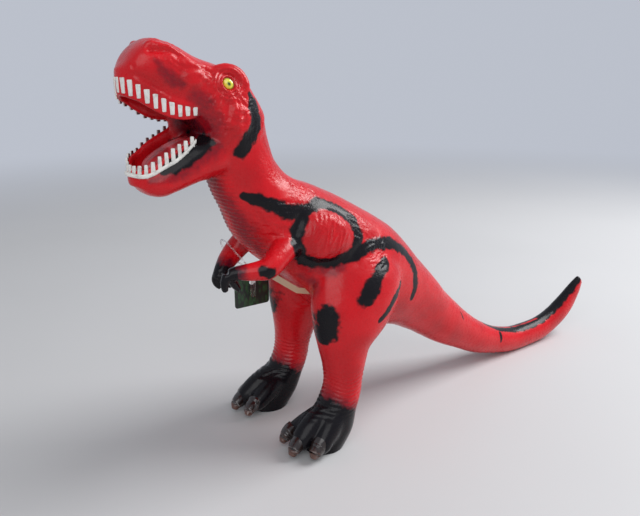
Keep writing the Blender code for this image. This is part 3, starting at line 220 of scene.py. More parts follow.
# How much further the gums reach on the right, and the way from the middle on which they grow to it
FAR_REACH = 0.012
FAR_REACH_WAY = 0.02

# Raised and sunken lines on each side: places with a half width, then the height
MOULDED_LINES = (
    (((-0.406, 0.040, 0.557, 0.005), (-0.396, 0.044, 0.546, 0.005), (-0.400, 0.043, 0.536, 0.005),
      (-0.414, 0.042, 0.537, 0.005)), -0.0016),
    (((-0.477, 0.027, 0.559, 0.004), (-0.462, 0.033, 0.551, 0.004),
      (-0.445, 0.037, 0.539, 0.004), (-0.429, 0.040, 0.531, 0.004)), -0.0012),
    (((-0.479, 0.027, 0.554, 0.003), (-0.464, 0.032, 0.545, 0.003), (-0.448, 0.036, 0.533, 0.003),
      (-0.431, 0.039, 0.525, 0.003), (-0.413, 0.041, 0.521, 0.003)), 0.0020),
    (((-0.461, 0.034, 0.588, 0.004), (-0.437, 0.036, 0.586, 0.004), (-0.416, 0.039, 0.577, 0.004),
      (-0.402, 0.041, 0.570, 0.004), (-0.385, 0.043, 0.561, 0.004)), -0.0036),
    (((-0.356, 0.050, 0.530, 0.005), (-0.346, 0.052, 0.516, 0.005), (-0.349, 0.052, 0.500, 0.005)), -0.0012),
    (((-0.236, 0.074, 0.292, 0.008), (-0.210, 0.080, 0.288, 0.008), (-0.186, 0.085, 0.290, 0.007)), -0.0022),
    (((-0.286, 0.070, 0.330, 0.006), (-0.282, 0.070, 0.348, 0.006), (-0.272, 0.068, 0.366, 0.006)), -0.0020),
    (((-0.188, 0.078, 0.300, 0.006), (-0.160, 0.078, 0.318, 0.007), (-0.130, 0.074, 0.322, 0.007)), -0.0020),
)
# Pads on each side: centre, half sizes and height
PADS = (
    ((-0.232, 0.072, 0.333), (0.050, 0.040, 0.042), 0.0080),
    ((-0.412, 0.044, 0.554), (0.018, 0.020, 0.013), 0.0032),
    ((-0.378, 0.040, 0.478), (0.018, 0.022, 0.014), 0.0030),
    ((-0.355, 0.050, 0.500), (0.026, 0.022, 0.026), 0.0030),
    ((-0.150, 0.092, 0.235), (0.050, 0.030, 0.045), 0.0030),
)
# Folds: centre, reach, direction along them or None where they run round the centre, pitch, length and depth
FOLDS = (
    ((-0.232, 0.076, 0.334), 0.046, (0.33, 0.0, 0.94), 0.0066, 0.040, 0.0034),
    ((-0.305, 0.060, 0.365), 0.040, (0.95, 0.1, -0.20), 0.0060, 0.030, 0.0028),
    ((-0.255, 0.050, 0.398), 0.036, (0.75, 0.0, 0.60), 0.0060, 0.030, 0.0026),
    ((-0.165, 0.080, 0.345), 0.040, (0.85, 0.0, -0.50), 0.0060, 0.030, 0.0026),
    ((-0.140, 0.090, 0.300), 0.036, (0.92, 0.0, 0.36), 0.0060, 0.035, 0.0024),
    ((-0.330, 0.060, 0.330), 0.040, (0.90, 0.2, -0.30), 0.0060, 0.020, 0.0014),
    ((-0.370, 0.050, 0.513), 0.038, None, 0.0085, 0.030, 0.0040),
    ((-0.435, 0.038, 0.560), 0.026, (0.75, 0.0, -0.62), 0.0050, 0.020, 0.0018),
    ((-0.445, 0.036, 0.540), 0.022, (0.85, 0.0, -0.52), 0.0040, 0.018, 0.0014),
    ((-0.330, 0.045, 0.500), 0.040, (0.20, 0.0, 0.98), 0.0060, 0.018, 0.0014),
    ((-0.300, 0.030, 0.440), 0.045, (0.60, 0.0, -0.80), 0.0070, 0.030, 0.0010),
)
SCALES = (((-0.392, 0.045, 0.558), 0.016, 0.0026), ((-0.440, 0.030, 0.592), 0.030, 0.0016),
          ((-0.385, 0.046, 0.525), 0.020, 0.0018), ((-0.345, 0.045, 0.535), 0.022, 0.0014))
RIB_PITCH = 0.0062
EYE = (-0.365, 0.048, 0.547)
EYE_DIRECTION = (-0.34, 0.92, 0.10)
EYE_SLANT = math.radians(50.0)
NOSTRIL = (-0.4825, 0.029, 0.569)

# Black marks on each side, painted on, and a black spot at the elbow: places with a half width
BLACK_MARKS = (
    ((-0.345, 0.045, 0.398, 0.006), (-0.329, 0.051, 0.393, 0.009), (-0.311, 0.058, 0.384, 0.011),
     (-0.294, 0.063, 0.377, 0.012), (-0.273, 0.065, 0.370, 0.012)),
    ((-0.259, 0.065, 0.373, 0.008), (-0.236, 0.057, 0.380, 0.008), (-0.214, 0.057, 0.372, 0.008),
     (-0.193, 0.060, 0.360, 0.009), (-0.179, 0.067, 0.343, 0.010), (-0.175, 0.075, 0.328, 0.010),
     (-0.180, 0.079, 0.311, 0.010), (-0.192, 0.080, 0.300, 0.010), (-0.209, 0.078, 0.295, 0.009),
     (-0.226, 0.073, 0.291, 0.009), (-0.246, 0.069, 0.293, 0.009), (-0.263, 0.067, 0.300, 0.010),
     (-0.276, 0.072, 0.313, 0.010), (-0.282, 0.072, 0.332, 0.010), (-0.277, 0.067, 0.352, 0.010),
     (-0.268, 0.066, 0.366, 0.009)),
    ((-0.190, 0.080, 0.298, 0.010), (-0.171, 0.080, 0.304, 0.010), (-0.147, 0.077, 0.307, 0.010),
     (-0.121, 0.070, 0.305, 0.010), (-0.093, 0.063, 0.296, 0.009), (-0.065, 0.056, 0.277, 0.008),
     (-0.050, 0.056, 0.258, 0.008), (-0.044, 0.059, 0.237, 0.008), (-0.044, 0.061, 0.214, 0.008),
     (-0.052, 0.061, 0.198, 0.005)),
    ((-0.132, 0.087, 0.278, 0.009), (-0.154, 0.099, 0.266, 0.011), (-0.174, 0.107, 0.249, 0.013),
     (-0.184, 0.108, 0.238, 0.013)),
    ((-0.100, 0.088, 0.240, 0.005), (-0.129, 0.106, 0.224, 0.006), (-0.145, 0.110, 0.209, 0.006),
     (-0.160, 0.112, 0.199, 0.004)),
    ((-0.236, 0.086, 0.226, 0.009), (-0.240, 0.087, 0.208, 0.014), (-0.242, 0.088, 0.190, 0.014),
     (-0.244, 0.086, 0.178, 0.010)),
    # the black spot at the elbow
    ((-0.343, 0.084, 0.304, 0.008), (-0.335, 0.086, 0.300, 0.008)),
    ((-0.455, 0.033, 0.441, 0.005), (-0.441, 0.036, 0.446, 0.009), (-0.425, 0.039, 0.454, 0.012),
     (-0.410, 0.038, 0.465, 0.011), (-0.394, 0.034, 0.476, 0.009)),
    ((-0.335, 0.050, 0.533, 0.006), (-0.330, 0.048, 0.522, 0.009), (-0.328, 0.050, 0.507, 0.011),
     (-0.331, 0.051, 0.492, 0.011), (-0.342, 0.051, 0.475, 0.011), (-0.351, 0.049, 0.459, 0.010)),
)
TAIL_MARKS = (
    ((0.070, 0.004, 0.176, 0.002), (0.111, 0.004, 0.138, 0.003), (0.149, 0.004, 0.107, 0.004)),
    ((0.187, 0.008, 0.080, 0.005), (0.229, 0.010, 0.060, 0.007), (0.273, 0.010, 0.048, 0.008),
     (0.320, 0.010, 0.045, 0.008), (0.364, 0.010, 0.049, 0.009)),
    ((0.364, 0.006, 0.051, 0.010), (0.402, 0.006, 0.064, 0.011), (0.433, 0.006, 0.082, 0.011),
     (0.464, 0.004, 0.104, 0.011), (0.490, 0.002, 0.120, 0.010)),
    ((0.100, 0.030, 0.130, 0.002), (0.108, 0.036, 0.112, 0.003)),
    ((0.225, 0.020, 0.055, 0.004), (0.222, 0.026, 0.040, 0.003)),
)
# How much of a point's distance from a mark counts sideways
SIDEWAYS = 0.4
# Dark maroon on each side, part sprayed paint and part painted shade: places with a half width
SPRAY_AND_SHADE_MARKS = (
    # sprayed paint: the streaky patch on the snout
    ((-0.455, 0.037, 0.574, 0.006), (-0.447, 0.040, 0.564, 0.010), (-0.437, 0.041, 0.553, 0.011),
     (-0.426, 0.042, 0.546, 0.008)),
    # painted shade in and behind the corner of the mouth, here and on the next line
    ((-0.406, 0.036, 0.512, 0.012), (-0.398, 0.036, 0.500, 0.014), (-0.396, 0.034, 0.486, 0.012)),
    ((-0.395, 0.038, 0.520, 0.016), (-0.385, 0.038, 0.495, 0.020), (-0.395, 0.036, 0.475, 0.016)),
    # sprayed paint: the maroon edge of the band along the lower jaw
    ((-0.470, 0.030, 0.430, 0.006), (-0.430, 0.042, 0.440, 0.014), (-0.390, 0.044, 0.468, 0.018)),
    ((-0.412, 0.044, 0.533, 0.012), (-0.395, 0.046, 0.522, 0.014)),
    # painted shade down the front of the throat and chest
    ((-0.375, 0.010, 0.420, 0.016), (-0.360, 0.020, 0.380, 0.024), (-0.345, 0.030, 0.340, 0.024),
     (-0.325, 0.030, 0.305, 0.022)),
    # painted shade under the arm, along the lower chest
    ((-0.292, 0.066, 0.300, 0.016), (-0.250, 0.070, 0.280, 0.016), (-0.210, 0.078, 0.284, 0.012)),
    # painted shade on the belly, in front of the thigh
    ((-0.260, 0.050, 0.262, 0.016), (-0.225, 0.064, 0.250, 0.014)),
)
SHIN_PAINT = (0.086, 0.052)


# Settings

class SkinSettings(bpy.types.PropertyGroup):
    voxel: FloatProperty(name="Grain", description="Size of the sheet's mesh", default=0.74 * MM,
                         min=0.4 * MM, max=3.0 * MM, unit="LENGTH", precision=5)
    relief: FloatProperty(name="Relief", description="Strength of the folds and scales", default=1.0,
                          min=0.0, max=2.0, subtype="FACTOR")
    red: FloatVectorProperty(name="Red", description="Colour of the vinyl", subtype="COLOR", size=3,
                             min=0.0, max=1.0, default=(0.62, 0.006, 0.012))
    black: FloatVectorProperty(name="Black", description="Colour of the painted marks", subtype="COLOR",
                               size=3, min=0.0, max=1.0, default=(0.006, 0.005, 0.007))
    # Dark maroon of thin sprayed paint, also used as painted shade in the mouth, on the throat, under the arms
    # and on the belly
    spray_and_shade: FloatVectorProperty(name="Dusk", description="Colour of the thinly sprayed shading",
                              subtype="COLOR", size=3, min=0.0, max=1.0, default=(0.055, 0.003, 0.012))


class MouthSettings(bpy.types.PropertyGroup):
    count: IntProperty(name="Teeth", description="Teeth on each side of each jaw", default=11, min=4, max=20)
    width: FloatProperty(name="Width", description="Share of the gum that a tooth takes", default=0.68,
                         min=0.3, max=0.95, subtype="FACTOR")
    depth: FloatProperty(name="Depth", description="How far a tooth stands out", default=2.2 * MM,
                         min=0.5 * MM, max=5.0 * MM, unit="LENGTH", precision=5)
    white: FloatVectorProperty(name="White", description="Colour of the teeth", subtype="COLOR", size=3,
                               min=0.0, max=1.0, default=(0.78, 0.77, 0.74))
    tongue: FloatVectorProperty(name="Tongue", description="Colour of the tongue", subtype="COLOR", size=3,
                                min=0.0, max=1.0, default=(0.50, 0.035, 0.045))


class EyeSettings(bpy.types.PropertyGroup):
    radius: FloatProperty(name="Radius", description="Half the width of an eye", default=3.7 * MM,
                          min=1.0 * MM, max=8.0 * MM, unit="LENGTH", precision=5)
    yellow: FloatVectorProperty(name="Yellow", description="Colour of the eye", subtype="COLOR", size=3,
                                min=0.0, max=1.0, default=(0.87, 0.82, 0.07))


class ClawSettings(bpy.types.PropertyGroup):
    horn: FloatVectorProperty(name="Horn", description="Colour of the claws", subtype="COLOR", size=3,
                              min=0.0, max=1.0, default=(0.016, 0.009, 0.008))


class TagSettings(bpy.types.PropertyGroup):
    leaf: FloatVectorProperty(name="Leaf", description="Green of the card's pattern", subtype="COLOR", size=3,
                              min=0.0, max=1.0, default=(0.030, 0.16, 0.045))
    ground: FloatVectorProperty(name="Ground", description="Ground of the card's pattern", subtype="COLOR",
                                size=3, min=0.0, max=1.0, default=(0.006, 0.012, 0.008))


class StageSettings(bpy.types.PropertyGroup):
    floor_radius: FloatProperty(name="Floor", description="Radius of the floor sheet", default=12.0, min=1.0,
                                unit="LENGTH")
    floor_colour: FloatVectorProperty(name="Floor colour", description="Colour of the floor", subtype="COLOR",
                                      size=3, min=0.0, max=1.0, default=(0.60, 0.60, 0.61))
    room_colour: FloatVectorProperty(name="Room colour", description="Colour of what lies far behind",
                                     subtype="COLOR", size=3, min=0.0, max=1.0, default=(0.50, 0.53, 0.60))


# Lofts

def scaled(*shares):
    return Vector(shares[:3]) * LENGTH


def refined(cuts, steps):
    """More cuts between those given, along a smooth curve through them."""
    rows = np.array(cuts)
    last = len(rows) - 1
    found = []
    for index in range(last):
        before, start = rows[max(index - 1, 0)], rows[index]
        end, after = rows[index + 1], rows[min(index + 2, last)]
        for step in range(steps):
            t = step / steps
            bend = 2.0 * before - 5.0 * start + 4.0 * end - after
            curve = 2.0 * start + (end - before) * t + bend * t * t
            found.append((curve + (3.0 * start - before - 3.0 * end + after) * t ** 3) / 2.0)
    found.append(rows[last])
    return found


def profile_frames(shares, steps=5):
    """Frames of cuts given by a back point, a belly point and a half width."""
    frames = []
    for back_x, back_z, belly_x, belly_z, half_width in refined(shares, steps):
        back = Vector((back_x, 0.0, back_z)) * LENGTH
        belly = Vector((belly_x, 0.0, belly_z)) * LENGTH
        frames.append(((back + belly) / 2.0, AXIS_Y * half_width * LENGTH, (back - belly) / 2.0))
    return frames


def limb_frames(points, side, shift=0.0, steps=4):
    """Frames of round cuts along a path, each square to the path."""
    rows = refined(points, steps)
    centres = [Vector((x + shift, side * y, z)) * LENGTH for x, y, z, radius in rows]
    frames = []
    for index, centre in enumerate(centres):
        before = centres[max(index - 1, 0)]
        after = centres[min(index + 1, len(centres) - 1)]
        along = (after - before).normalized()
        guide = AXIS_Z if abs(along.z) < 0.8 else AXIS_X
        across = along.cross(guide).normalized()
        radius = rows[index][3] * LENGTH
        frames.append((centre, across * radius, across.cross(along).normalized() * radius))
    return frames


def right_shift(height):
    """How far the right leg stands ahead of the left one at a height."""
    share = np.clip(height / HIP_HEIGHT, 0.0, 1.0)
    return RIGHT_FOOT_SHIFT * (1.0 - share) + RIGHT_KNEE_SHIFT * np.sin(math.pi * share)


def leg_frames(side, steps=5):
    frames = []
    for front_x, front_z, rear_x, rear_z, centre_y, half_width in refined(LEG, steps):
        height = (front_z + rear_z) / 2.0
        shift = float(right_shift(height)) if side > 0.0 else 0.0
        front = Vector((front_x + shift, side * centre_y, front_z)) * LENGTH
        rear = Vector((rear_x + shift, side * centre_y, rear_z)) * LENGTH
        frames.append(((front + rear) / 2.0, AXIS_Y * half_width * LENGTH, (rear - front) / 2.0))
    return frames


def right_share(y):
    """0 on the left of the mouth and 1 on its right, where the gums reach further."""
    return min(max(y / FAR_REACH_WAY, 0.0), 1.0)


def gum_line(gum, steps=3):
    """Both sides of a gum, from the back of the left side round the front to the back of the right."""
    rows = refined(gum, steps)
    line = [(x, LEFT * y, first, last) for x, y, first, last in reversed(rows)]
    return line + [(x, RIGHT * y, first, last + math.copysign(FAR_REACH, last - first) * right_share(y))
                   for x, y, first, last in rows[1:]]


def gum_frames(gum, half_thickness, overlap, left_short, right_short):
    """Frames of a thin wall that follows a gum, from inside the lip to a little short of the teeth's tips."""
    line = gum_line(gum)
    frames = []
    for index, (x, y, lip, tip) in enumerate(line):
        before, after = line[max(index - 1, 0)], line[min(index + 1, len(line) - 1)]
        along = Vector((after[0] - before[0], after[1] - before[1], 0.0)).normalized()
        across = along.cross(AXIS_Z).normalized()
        sign = math.copysign(1.0, tip - lip)
        short = left_short + (right_short - left_short) * right_share(y)
        top, bottom = lip - sign * overlap, tip - sign * short
        centre = scaled(x, y, (top + bottom) / 2.0) + across * half_thickness * LENGTH
        frames.append((centre, across * half_thickness * LENGTH, AXIS_Z * abs(top - bottom) / 2.0 * LENGTH))
    return frames


def frame_matrix(centre, across, up):
    along = across.cross(up).normalized()
    matrix = Matrix((across, up, along)).transposed().to_4x4()
    matrix.translation = centre
    return matrix


def add_loft(builder, frames, sides=48, squareness=2.0):
    """A disc is shaped to the first cut, and its face is then extruded from cut to cut."""
    ring = bmesh.ops.create_circle(builder, cap_ends=True, segments=sides, radius=1.0)["verts"]
    for vert in ring:
        for axis in (0, 1):
            vert.co[axis] = math.copysign(abs(vert.co[axis]) ** (2.0 / squareness), vert.co[axis])
    made = set(ring)
    faces = list(ring[0].link_faces)
    verts = ring
    place = Matrix.Identity(4)
    for index, (centre, across, up) in enumerate(frames):
        target = frame_matrix(centre, across, up)
        if index:
            grown = bmesh.ops.extrude_face_region(builder, geom=faces)["geom"]
            verts = [item for item in grown if isinstance(item, bmesh.types.BMVert)]
            faces = [item for item in grown if isinstance(item, bmesh.types.BMFace)]
            made.update(verts)
        bmesh.ops.transform(builder, matrix=target @ place.inverted(), verts=verts)
        place = target
    return list(made)


# Meshes and numbers

def new_object(builder, name):
    mesh = bpy.data.meshes.new(name)
    builder.to_mesh(mesh)
    builder.free()
    item = bpy.data.objects.new(name, mesh)
    bpy.context.scene.collection.objects.link(item)
    return item


def applied(item):
    """The item's mesh with its modifiers, in place of its own."""
    bpy.context.view_layer.update()
    evaluated = item.evaluated_get(bpy.context.evaluated_depsgraph_get())
    old = item.data
    item.data = bpy.data.meshes.new_from_object(evaluated)
    item.modifiers.clear()
    bpy.data.meshes.remove(old)
    return item


def remeshed(item, voxel):
    step = item.modifiers.new("melt", "REMESH")
    step.mode = "VOXEL"
    step.voxel_size = voxel
    step.use_smooth_shade = True
    return applied(item)


def numbers_of(items, name, width=3):
    """One value of each item as rows of numbers."""
    flat = np.empty(len(items) * width, np.float32)
    items.foreach_get(name, flat)
    return flat.reshape(-1, width).astype(float)


def put_points(mesh, points):
    mesh.vertices.foreach_set("co", points.astype(np.float32).ravel())
    mesh.update()


def edges_of(mesh):
    flat = np.empty(len(mesh.edges) * 2, np.int32)
    mesh.edges.foreach_get("vertices", flat)
    return flat.reshape(-1, 2)


def neighbour_means(points, edges):
    count = np.bincount(edges.ravel(), minlength=len(points))[:, None]
    ends = np.concatenate((edges[:, 0], edges[:, 1]))
    others = np.concatenate((edges[:, 1], edges[:, 0]))
    total = np.stack([np.bincount(ends, points[others, axis], len(points)) for axis in range(3)], axis=1)
    return total / np.maximum(count, 1)


def relaxed(points, edges, strength, rounds):
    """Points drawn towards their neighbours, by a strength for each point."""
    weight = np.asarray(strength, float).reshape(-1, 1)
    for _ in range(rounds):
        points = points + (neighbour_means(points, edges) - points) * weight
    return points


def filled_creases(points, edges, normals, strength, rounds):
    """Hollow edges between the lofts are filled, and rounded ones are left as they are."""
    near = np.nonzero(strength > 0.0)[0]
    index = np.full(len(points), -1)
    index[near] = np.arange(len(near))
    inner = edges[(index[edges[:, 0]] >= 0) & (index[edges[:, 1]] >= 0)]
    inner = index[inner]
    part, outward, weight = points[near], normals[near], strength[near][:, None]
    for _ in range(rounds):
        step = neighbour_means(part, inner) - part
        rise = (step * outward).sum(1, keepdims=True)
        part = part + np.where(rise > 0.0, step, step * 0.15) * weight
    points = points.copy()
    points[near] = part
    return points


def smooth_step(low, high, value):
    t = np.clip((value - low) / (high - low), 0.0, 1.0)
    return t * t * (3.0 - 2.0 * t)


def near(points, centre, reach):
    """1 at the centre and 0 from the reach on."""
    distance = np.linalg.norm(points - np.array(centre), axis=1)
    return 1.0 - smooth_step(0.55 * reach, reach, distance)


def from_line(points, line, sideways=1.0):
    """How far the points lie from a line of places, in half widths. Sideways distance may count less."""
    rows = np.array(line)
    rows[:, 1] *= sideways
    points = points * np.array((1.0, sideways, 1.0))
    best = np.full(len(points), np.inf)
    for start, end in zip(rows, rows[1:]):
        along = end[:3] - start[:3]
        t = np.clip((points - start[:3]) @ along / (along @ along), 0.0, 1.0)
        distance = np.linalg.norm(points - start[:3] - t[:, None] * along, axis=1)
        best = np.minimum(best, distance / (start[3] + (end[3] - start[3]) * t))
    return best


def scatter(cells, seed):
    """A number from 0 to 1 for each whole cell, always the same for the same cell."""
    x, y, z = (cells[:, axis].astype(np.int64) for axis in range(3))
    mixed = (x * 73856093) ^ (y * 19349663) ^ (z * 83492791) ^ (seed * 39916801)
    mixed = (mixed ^ (mixed >> 13)) & 0x7FFFFFFF
    mixed = (mixed * 1274126177) & 0x7FFFFFFF
    return ((mixed ^ (mixed >> 15)) & 0xFFFFF) / float(0xFFFFF)


def soft_noise(points, seed):
    """Smooth noise from 0 to 1, with one hill or hollow to a unit."""
    base = np.floor(points)
    part = points - base
    part = part * part * (3.0 - 2.0 * part)
    total = np.zeros(len(points))
    for corner in range(8):
        offset = np.array((corner & 1, corner >> 1 & 1, corner >> 2 & 1))
        weight = np.prod(np.where(offset, part, 1.0 - part), axis=1)
        total += weight * scatter(base + offset, seed)
    return total


def cell_noise(points, seed):
    """Distance to the nearest of scattered centres, about one centre to a unit."""
    base = np.floor(points)
    best = np.full(len(points), 9.0)
    for corner in range(27):
        offset = np.array((corner % 3 - 1, corner // 3 % 3 - 1, corner // 9 - 1))
        cell = base + offset
        centre = cell + np.stack([scatter(cell, seed + axis) for axis in range(3)], axis=1)
        best = np.minimum(best, ((points - centre) ** 2).sum(1))
    return np.sqrt(best)


def ridged(value):
    """0 in the middle between two valleys of a noise and 1 on its crests."""
    return 1.0 - np.abs(2.0 * value - 1.0)


def fold_heights(points, centre, direction, pitch, length, seed):
    """Wavy folds that run along a direction, or round the eye as seen from the side."""
    offset = points - np.array(EYE if direction is None else centre)
    if direction is None:
        angle = np.arctan2(offset[:, 2], offset[:, 0])
        radius = np.hypot(offset[:, 0], offset[:, 2])
        turned = angle * radius.mean() / length * 3.0
        squeezed = np.stack((radius / pitch, turned, offset[:, 1] / pitch / 3.0), 1)
    else:
        heading = np.array(direction) / np.linalg.norm(direction)
        run = offset @ heading
        squeezed = (offset - run[:, None] * heading) / pitch + run[:, None] * heading / length
    wide = ridged(soft_noise(squeezed, seed))
    fine = ridged(soft_noise(squeezed * 1.9 + 7.3, seed + 50))
    return 0.7 * wide + 0.3 * fine


# The skin

SHEETS = ("torso_vinyl", "belly_patch_vinyl", "head_vinyl", "jaw_vinyl", "left_arm_vinyl", "right_arm_vinyl",
          "left_leg_vinyl", "right_leg_vinyl", "tail_vinyl", "tail_tip_vinyl")
STOOD_FOR = ("torso_skin", "belly_patch", "head_skin", "lower_jaw", "left_arm", "right_arm", "left_leg_skin",
             "right_leg_skin", "tail_skin", "tail_tip")
HEAD_START = Vector((-0.1212, 0.0, 0.1616))
HEAD_END = Vector((-0.1512, 0.0, 0.2016))
HEAD_PARTING = 0.199
JAW_PARTING = HEAD_PARTING + 0.045
JAW_ROOT = Vector((-0.1765, 0.0, 0.2205))
JAW_DIRECTION = Vector((-0.9, 0.0, -0.44)).normalized()
JAW_BEND = 14.0 * MM
MOUTH_HEIGHT = 0.2232
SKIN_DEPTH = 1.5 * MM
ARM_ROOT = Vector((-0.131, 0.0305, 0.1405))
ARM_DIRECTION = Vector((-0.81, 0.36, -0.46)).normalized()
ARM_BEND = 12.0 * MM
KNEE_HEIGHT = 0.064
LEG_REAR = -0.045
TAIL_PARTING, TAIL_BEND = -0.014, (-0.010, 0.030)
TIP_PARTING, TIP_BEND = 0.095, (0.100, 0.145)
PATCH_PLACE = (-0.222, 0.0, 0.216)
PATCH_HALF_SIZES = (0.05222, 0.03778)
PATCH_TILT = math.radians(42.0)
TONGUE_PLACE = (-0.1318, 0.0185, 0.1170)
TONGUE_REACH = (7.0 * MM, 9.0 * MM)
CHEST_LINE = ((-0.385, 0.0, 0.440, 0.040), (-0.362, 0.0, 0.385, 0.045), (-0.345, 0.0, 0.335, 0.050),
              (-0.310, 0.0, 0.295, 0.050))
MOUTH_HOLLOW = ((-0.392, 0.0, 0.495), (0.055, 0.0375, 0.034))


def melted_lofts(voxel):
    """Every swelling form of the skin as a loft, melted into one closed sheet."""
    builder = bmesh.new()
    add_loft(builder, profile_frames(BODY), 64, 2.1)
    add_loft(builder, profile_frames(SKULL), 64, 2.6)
    add_loft(builder, profile_frames(JAW), 64, 2.8)
    add_loft(builder, gum_frames(UPPER_GUM, 0.0038, 0.014, -0.005, 0.001), 16, 4.0)
    add_loft(builder, gum_frames(LOWER_GUM, 0.0038, 0.014, 0.005, 0.003), 16, 4.0)
    add_loft(builder, limb_frames(FAR_CORNER, RIGHT), 32)
    for side, arm, fingers in ((LEFT, LEFT_ARM, LEFT_FINGERS), (RIGHT, RIGHT_ARM, RIGHT_FINGERS)):
        for path in (arm, *fingers, BROW, SNOUT_RIDGE):
            add_loft(builder, limb_frames(path, side), 32)
        add_loft(builder, leg_frames(side))
        for toe in TOES:
            add_loft(builder, limb_frames(toe, side, RIGHT_FOOT_SHIFT if side > 0.0 else 0.0), 32)
    return remeshed(new_object(builder, "skin"), voxel)


def own_side(points):
    """Shares of the length with y measured outwards, and the right leg set back beside the left one."""
    shares = points / LENGTH
    shift = right_shift(shares[:, 2])
    shift *= smooth_step(-0.09, -0.16, shares[:, 0]) * (shares[:, 1] > 0.0)
    return np.stack((shares[:, 0] - shift, np.abs(shares[:, 1]), shares[:, 2]), axis=1)


def patch_distance(shares):
    """0 in the middle of the belly patch, 1 on its edge, and far from 0 on the figure's other side."""
    offset = shares - np.array(PATCH_PLACE)
    along = offset[:, 0] * math.cos(PATCH_TILT) - offset[:, 2] * math.sin(PATCH_TILT)
    outward = -offset[:, 0] * math.sin(PATCH_TILT) - offset[:, 2] * math.cos(PATCH_TILT)
    distance = np.hypot(along / PATCH_HALF_SIZES[0], offset[:, 1] / PATCH_HALF_SIZES[1])
    return np.where(outward > -0.04, distance, 9.0)


def crease_strength(shares):
    """Where lofts may flow into each other: not at the lips, the nape, the brow, the fingers and the toes."""
    strength = np.full(len(shares), 0.45)
    for centre, reach in (((-0.45, 0.0, 0.49), 0.075), ((-0.375, 0.058, 0.275), 0.045),
                          ((-0.345, 0.06, 0.248), 0.040), ((-0.275, 0.085, 0.02), 0.060),
                          ((-0.262, 0.0, 0.428), 0.070)):
        strength *= 1.0 - near(shares, centre, reach)
    strength *= 1.0 - near(shares, (-0.37, 0.04, 0.545), 0.050)
    return np.where(shares[:, 0] < 0.05, strength, 0.0)


def eye_relief(shares):
    """The hollow for the eye, the ring of its lids and the folds round them, in metres."""
    away = np.linalg.norm(shares - np.array(EYE), axis=1) * LENGTH
    height = -1.4 * MM * (1.0 - smooth_step(2.8 * MM, 4.4 * MM, away))
    for radius, rise, spread in ((4.7, 0.8, 0.7), (5.7, -0.35, 0.4), (6.7, 0.45, 0.6), (7.7, -0.30, 0.4),
                                 (8.8, 0.35, 0.7), (9.9, -0.25, 0.5)):
        height += rise * MM * np.exp(-((away / MM - radius) / spread) ** 2)
    return height


def fine_relief(shares):
    """Pads, moulded lines, folds and scales of one side, in metres, and how rough the skin is there."""
    height = eye_relief(shares)
    rough = np.full(len(shares), 0.25)
    for centre, sizes, rise in PADS:
        away = np.linalg.norm((shares - np.array(centre)) / np.array(sizes), axis=1)
        height += rise * LENGTH * (1.0 - smooth_step(0.45, 1.0, away))
    for line, rise in MOULDED_LINES:
        height += rise * LENGTH * np.exp(-from_line(shares, line) ** 2)
    for index, (centre, reach, direction, pitch, length, depth) in enumerate(FOLDS):
        weight = near(shares, centre, reach)
        here = np.nonzero(weight > 0.0)[0]
        folds = fold_heights(shares[here], centre, direction, pitch, length, 11 * index)
        height[here] += (folds - 0.6) * depth * LENGTH * weight[here]
        rough = np.maximum(rough, weight)
    for index, (centre, reach, depth) in enumerate(SCALES):
        weight = near(shares, centre, reach)
        here = np.nonzero(weight > 0.0)[0]
        cells = np.clip(cell_noise(shares[here] / 0.0075, 90 + index), 0.0, 1.0)
        height[here] += (0.5 - cells) * depth * LENGTH * weight[here]
        rough = np.maximum(rough, weight)
    return height, rough


def ribs(shares):
    """Level ribs over the throat, the chest and the ankles, in metres."""
    wobble = soft_noise(shares / np.array((0.030, 0.030, 0.050)), 301) * 1.4
    chest = 1.0 - smooth_step(0.7, 1.05, from_line(shares, CHEST_LINE))
    height = chest * 0.30 * MM * np.cos((shares[:, 2] / RIB_PITCH + wobble) * 2.0 * math.pi)
    leg = (shares[:, 1] > 0.03) & (shares[:, 0] < -0.12)
    ankle = smooth_step(0.050, 0.070, shares[:, 2]) * (1.0 - smooth_step(0.110, 0.135, shares[:, 2])) * leg
    height += ankle * 0.28 * MM * np.cos((shares[:, 2] / 0.0062 + wobble * 1.6) * 2.0 * math.pi)
    return height, np.maximum(chest, ankle)


def sculpted(points, normals, relief):
    """The points moved out and in along their normals, and how rough the skin is at each."""
    shares = own_side(points)
    height, rough = fine_relief(shares)
    rib_height, ribbed = ribs(shares)
    height += rib_height
    rough = np.maximum(rough, 0.7 * ribbed)
    height += (soft_noise(points / 0.016, 401) - 0.5) * 0.5 * MM
    height += (soft_noise(points / 0.0045, 402) - 0.5) * 0.16 * MM
    height -= 0.35 * MM * np.exp(-((patch_distance(points / LENGTH) - 1.0) / 0.03) ** 2)
    nostril = np.linalg.norm(shares - np.array(NOSTRIL), axis=1) * LENGTH / (1.3 * MM)
    height -= 1.0 * MM * np.exp(-nostril ** 2)
    mouth = np.linalg.norm((shares - np.array(MOUTH_HOLLOW[0])) / np.array(MOUTH_HOLLOW[1]), axis=1)
    height *= smooth_step(0.7, 1.0, mouth)
    moved = points + normals * (height * relief)[:, None]
    moved[:, 2] = np.maximum(moved[:, 2], 0.0)
    low, high = (np.array(corner) for corner in cad_box)
    return np.clip(moved, low + 0.05 * MM, high - 0.05 * MM), rough


